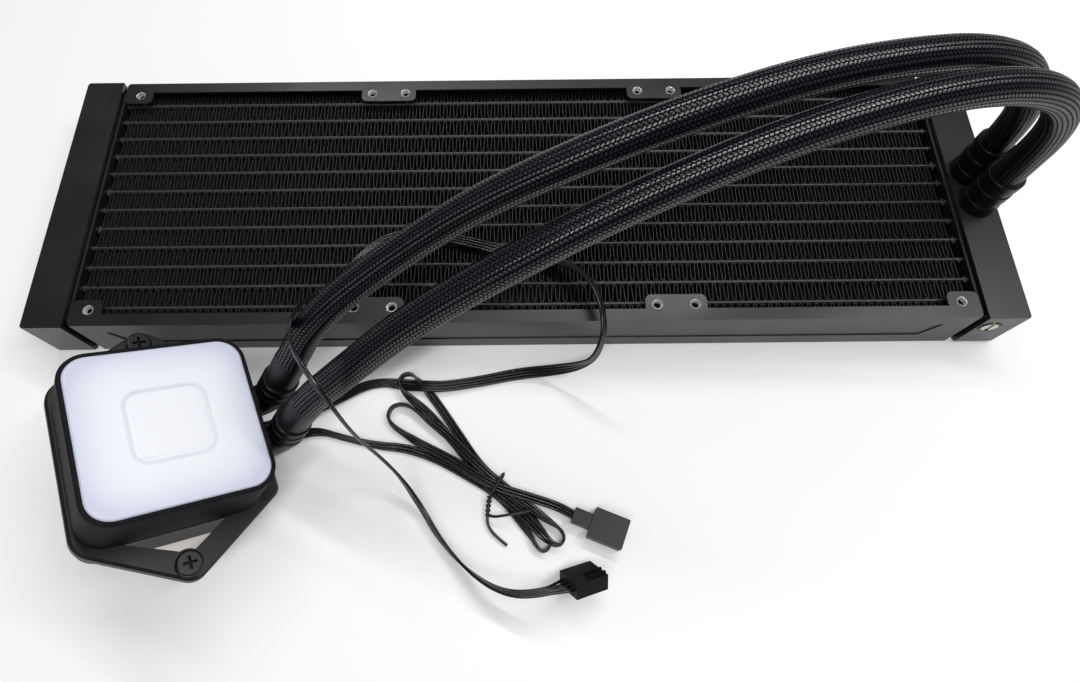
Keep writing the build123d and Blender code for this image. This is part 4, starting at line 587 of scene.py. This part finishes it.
LAMP = grained("lamp_resin", (0.8, 0.76, 0.6), 0.3, grain=0.8)
CORE = grained("stator_steel", (0.3, 0.3, 0.31), 0.4, grain=0.4, stretch=(1, 1, 6), Metallic=0.9)
MAGNET = grained("magnet_ceramic", (0.06, 0.06, 0.065), 0.5, grain=0.5, bump=0.3)
CERAMIC = grained("shaft_ceramic", (0.8, 0.8, 0.77), 0.15, grain=0.8, bump=0.03)
IMPELLER = grained("impeller_plastic", (0.7, 0.7, 0.7), 0.4, grain=0.7)
CARBON = grained("bushing_carbon", (0.03, 0.03, 0.032), 0.45, grain=0.4, bump=0.3)

DRESS = {
    SATIN: ["left_tank", "right_tank", "left_header", "right_header", "front_rail", "rear_rail"],
    TUBE_PAINT: ["flat_tubes"],
    FIN_PAINT: ["fin_strips"],
    PLUG: ["fill_plug"],
    BRIGHT: ["plate_screws", "screw_retainers"],
    RUBBER: ["plug_seal", "port_seals", "base_gasket", "cable_grommet"],
    GLOSS: ["front_radiator_fitting", "rear_radiator_fitting", "front_radiator_ferrule",
            "rear_radiator_ferrule", "front_pump_ferrule", "rear_pump_ferrule"],
    BRAID: ["front_hose", "rear_hose"],
    ELBOW: ["front_elbow", "rear_elbow"],
    SHROUD: ["pump_shroud"],
    BLOCK: ["pump_block", "channel_plate"],
    CAP: ["light_cap"],
    BRACKET: ["mounting_bracket"],
    DARK_STEEL: ["front_mounting_screw", "rear_mounting_screw"],
    COPPER: ["cold_plate", "stator_coils"],
    BOARD: ["control_board"],
    LAMP: ["light_diodes"],
    CORE: ["stator_core"],
    MAGNET: ["rotor_magnet"],
    CERAMIC: ["rotor_shaft"],
    IMPELLER: ["impeller"],
    CARBON: ["upper_bushing", "lower_bushing"],
    VINYL: ["pump_cable", "light_cable", "light_cable_tail", "light_cable_hank"],
    CONNECTOR: ["light_plug"],
    DARK_PLUG: ["power_plug"],
    TIN: ["power_contacts"],
    TIE: ["twist_tie"],
}
for finish, names in DRESS.items():
    for name in names:
        for slot in nodes[name].material_slots:
            slot.material = finish

# ---------------------------------------------------------------- hoses
HOSE_RADIUS = 5.7 * MM
HOSE_AROUND = 40
COLLAR_END = 22.5 * MM
COLLAR_THICKNESS = 0.3 * MM


def hose_radius(v):
    """A touch thicker under the shrunk collar at the pump's end, with a soft lip."""
    lip = 0.5 - 0.5 * math.tanh((v - COLLAR_END) / (0.7 * MM))
    return HOSE_RADIUS + COLLAR_THICKNESS * lip


def hose(name, route):
    """One sleeved hose in place of the CAD node with the same name."""
    places = spline_places(route, 24)
    shape = Shape()
    shape.tube(places, carried_sides(places, (0, 1, 0)), hose_radius, HOSE_AROUND,
               mark=lambda v: 1 if v < COLLAR_END + 0.5 * MM else 0)
    piece = shape.piece(name + "_sleeve", BRAID, COLLAR)
    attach(piece, "cooler")
    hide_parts(name)


hose("front_hose", FRONT_HOSE)
hose("rear_hose", REAR_HOSE)

# ---------------------------------------------------------------- ribbon cables
WIRE_PITCH = 1.2 * MM
WIRE_RADIUS = 0.62 * MM
WIRE_AROUND = 10
LOWEST_WIRE = 0.72 * MM


def ribbon(name, route, wires, replaced, fan_out=0.0, far_pitch=WIRE_PITCH):
    """Insulated wires joined side by side; the last stretch may part into single wires."""
    places = spline_places([place for place, _ in route])
    sides = faced_sides(places, [face for _, face in route])
    along = lengths_along(places)
    total = along[-1]
    shape = Shape()
    for n in range(wires):
        off = n - (wires - 1) / 2
        line = []
        for place, side, v in zip(places, sides, along):
            part = max(0.0, (v - total + fan_out) / fan_out) if fan_out else 0.0
            pitch = WIRE_PITCH + (far_pitch - WIRE_PITCH) * part * part * (3 - 2 * part)
            spot = place + side * off * pitch
            spot.z = max(spot.z, LOWEST_WIRE)
            line.append(spot)
        shape.tube(line, sides, WIRE_RADIUS, WIRE_AROUND)
    piece = shape.piece(name, VINYL)
    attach(piece, "cooler")
    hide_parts(*replaced)


# ---------------------------------------------------------------- twist tie round the hank
# The loop's middle and half sizes are millimetres
TIE_TURN = math.radians(59.7)
TIE_ACROSS = Vector((math.cos(TIE_TURN), math.sin(TIE_TURN), 0))
TIE_MIDDLE = Vector((-11.3, -118.0, 3.2))
TIE_HALF_WIDTH, TIE_HALF_HEIGHT = 5.0, 2.5
TIE_RADIUS = 0.55 * MM
STRAND_RADIUS = 0.5 * MM
STRAND_TURN = 3.4 * MM
TIE_AROUND = 8
LOOP_STEPS = 40


def squared(share):
    """Pushes a sine or cosine outwards, which turns a circle into a rounded box."""
    return math.copysign(abs(share) ** 0.7, share)


tie_shape = Shape()
loop = []
for k in range(LOOP_STEPS + 1):
    turn = 2 * math.pi * k / LOOP_STEPS
    flat = TIE_HALF_WIDTH * squared(math.cos(turn))
    high = TIE_HALF_HEIGHT * squared(math.sin(turn))
    loop.append((TIE_MIDDLE + TIE_ACROSS * flat + Vector((0, 0, high))) * MM)
tie_shape.tube(loop, carried_sides(loop, (0.86, -0.5, 0.1)), TIE_RADIUS, TIE_AROUND)
twist = spline_places([(-14.2, -122.4, 3), (-14.6, -124.4, 2.6), (-14.9, -126.6, 2.3),
                       (-15, -129.4, 2.2)])
twist_sides = carried_sides(twist, (1, 0, 0))
for phase in (0, math.pi):
    strand = []
    for place, side, way, v in zip(twist, twist_sides, ways(twist), lengths_along(twist)):
        turn = phase + v / STRAND_TURN * 2 * math.pi
        strand.append(place + turned(side, way.cross(side), turn) * TIE_RADIUS)
    tie_shape.tube(strand, twist_sides, STRAND_RADIUS, TIE_AROUND)
for end in ([(-15, -129, 2.3), (-13, -130.1, 4.2), (-8, -129.6, 5.9), (-3, -128.9, 6.1),
             (1.2, -128.2, 6.0)],
            [(-15, -129, 2.1), (-15.4, -131.6, 1.6), (-13.6, -135, 1.3), (-10.6, -137.8, 1.2),
             (-7.6, -140.1, 1.2)]):
    line = spline_places(end)
    tie_shape.tube(line, carried_sides(line, (0, 0, 1)), TIE_RADIUS, TIE_AROUND)
tie = tie_shape.piece("twist_tie_wire", TIE)
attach(tie, "cooler")
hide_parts("twist_tie")

ribbon("pump_ribbon", PUMP_CABLE, 4, ["pump_cable"],
       fan_out=9 * MM, far_pitch=2.4 * MM)
ribbon("light_ribbon", LIGHT_CABLE, 3, ["light_cable", "light_cable_hank", "light_cable_tail"])

# ---------------------------------------------------------------- fine fins in place of the coarse ones
# From the middle of a row to just short of the tube beside it, in millimetres
FIN_REACH = ROW_PITCH / 2 - 1.02
FIN_THICKNESS = 0.18 * MM
# Lean of a row's legs as a share of their pitch, then each leg's shift and bow in millimetres
FIN_LEAN = (0.25, 0.4)
FIN_SHIFT = (-0.07, 0.07)
FIN_BOW = (0.05, 0.16)
LEG_SHARES = (0, 0.25, 0.5, 0.75, 1)

random.seed(7)
fins = Shape()
for row in range(TUBE_COUNT + 1):
    middle = (row - TUBE_COUNT / 2) * ROW_PITCH
    base = len(fins.verts)
    lean = random.uniform(*FIN_LEAN)
    for leg in range(FIN_LEGS):
        way = 1 if leg % 2 == 0 else -1
        x0 = -CORE_LENGTH / 2 + leg * FIN_PITCH + random.uniform(*FIN_SHIFT)
        bow = random.uniform(*FIN_BOW)
        for s in LEG_SHARES:
            x = x0 + lean * FIN_PITCH * s + bow * math.sin(2 * math.pi * s)
            y = middle + way * FIN_REACH * (2 * s - 1)
            fins.verts += [Vector((x, y, CORE_LOW)) * MM, Vector((x, y, CORE_HIGH)) * MM]
    for a in range(base, len(fins.verts) - 2, 2):
        fins.face((a, a + 2, a + 3, a + 1))
fine_fins = fins.piece("fine_fins", FIN_PAINT, smooth=False)
wall = fine_fins.modifiers.new("wall", "SOLIDIFY")
wall.thickness = FIN_THICKNESS
wall.offset = 0
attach(fine_fins, "cooler")
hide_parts("fin_strips")

# ---------------------------------------------------------------- solder at the tubes' ends
LUMP_X = 178.9
LUMP_HEIGHTS = (5.2, 22.2)
LUMP_AROUND, LUMP_LEVELS = 10, 6

lumps = Shape()
for end in (-1, 1):
    for row in range(TUBE_COUNT):
        y = (row - (TUBE_COUNT - 1) / 2) * ROW_PITCH
        for high in LUMP_HEIGHTS:
            size = random.uniform(0.8, 1.25)
            base = len(lumps.verts)
            middle = Vector((end * LUMP_X, y + random.uniform(-0.3, 0.3), high))
            for i in range(LUMP_LEVELS + 1):
                tilt = math.pi * i / LUMP_LEVELS
                for k in range(LUMP_AROUND):
                    turn = 2 * math.pi * k / LUMP_AROUND
                    r = size * random.uniform(0.86, 1.14)
                    lumps.verts.append((middle + Vector((
                        0.9 * r * math.cos(turn) * math.sin(tilt),
                        1.7 * r * math.sin(turn) * math.sin(tilt),
                        0.8 * r * math.cos(tilt)))) * MM)
            for _, _, (a, b, c, d) in lattice(base, LUMP_LEVELS + 1, LUMP_AROUND):
                lumps.face((a, d, c, b))
solder = lumps.piece("header_solder", SOLDER)
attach(solder, "cooler")

# ---------------------------------------------------------------- bright threads in the fan holes
FAN_HOLES_X = (-172.5, -67.5, -52.5, 52.5, 67.5, 172.5)
FAN_HOLES_Y = (-52.5, 52.5)
# Radius and depth in millimetres of the lip and of one turn of the thread
THREAD_LIP = [(2.05, -0.015), (1.74, 0.02)]
THREAD_TOOTH = [(1.74, 0), (1.52, 0.16), (1.52, 0.2), (1.7, 0.36)]
THREAD_START, THREAD_PITCH, THREAD_TURNS = 0.04, 0.4, 6
THREAD_AROUND = 20

threads = Shape()
outline = [(r * MM, h * MM) for r, h in THREAD_LIP]
for turn in range(THREAD_TURNS):
    outline += [(r * MM, (THREAD_START + h + THREAD_PITCH * turn) * MM) for r, h in THREAD_TOOTH]
for x in FAN_HOLES_X:
    for y in FAN_HOLES_Y:
        for base_z, up in ((RADIATOR_HEIGHT, -1), (0.0, 1)):
            threads.ring(outline, Vector((x, y, base_z)) * MM, (0, 0, up), THREAD_AROUND)
thread_rings = threads.piece("fan_screw_threads", THREAD)
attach(thread_rings, "cooler")

# ---------------------------------------------------------------- floor and light
FLOOR_REACH, FLOOR_STEPS, FLOOR_Z = 3.0, 12, -0.0002
PAPER_GLOW = 0.13

floor_shape = Shape()
marks = [FLOOR_REACH * (2 * i / FLOOR_STEPS - 1) for i in range(FLOOR_STEPS + 1)]
floor_shape.verts = [Vector((x, y, FLOOR_Z)) for x in marks for y in marks]
for i in range(FLOOR_STEPS):
    for j in range(FLOOR_STEPS):
        a = i * (FLOOR_STEPS + 1) + j
        floor_shape.face((a, a + FLOOR_STEPS + 1, a + FLOOR_STEPS + 2, a + 1))
# The paper glows a little where it is seen, so that it looks white and still takes shadows
paper = Paint("floor_paper", Emission_Color=(1, 1, 1, 1))
fine = paper.noise(1 / (3 * MM), 4)
paper.link(paper.blend(fine, (0.895, 0.895, 0.9), (0.905, 0.905, 0.91)).outputs[0], "Base Color")
paper.link(paper.between(fine, 0.7, 0.8), "Roughness")
rays = paper.put("LightPath").outputs
seen = paper.math("MAXIMUM", rays["Is Camera Ray"],
                  paper.math("MAXIMUM", rays["Is Glossy Ray"], rays["Is Transmission Ray"]))
paper.link(paper.math("MULTIPLY", seen, PAPER_GLOW), "Emission Strength")
floor = floor_shape.piece("floor", paper.mat, smooth=False)
floor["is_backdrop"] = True

world = bpy.data.worlds.new("studio")
bpy.context.scene.world = world
world.use_nodes = True
sky = world.node_tree.nodes["Background"]
sky.inputs["Color"].default_value = (0.95, 0.97, 1.0, 1)
sky.inputs["Strength"].default_value = 0.15


def lamp(name, place, aim, size, power):
    """A rectangular lamp that looks at a place. Lengths are metres and power is watts."""
    light = bpy.data.lights.new(name, "AREA")
    light.shape = "RECTANGLE"
    light.size, light.size_y = size
    light.energy = power
    made = bpy.data.objects.new(name, light)
    bpy.context.scene.collection.objects.link(made)
    made.location = place
    made.rotation_euler = (Vector(aim) - Vector(place)).to_track_quat("-Z", "Y").to_euler()


lamp("strip_front", (0.15, -0.3, 0.95), (0, -0.05, 0), (1.4, 0.06), 6.1)
lamp("strip_back", (0.2, 0.4, 0.9), (0, 0, 0), (1.4, 0.06), 6.1)

bpy.context.scene.view_settings.view_transform = "Standard"

low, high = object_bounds()
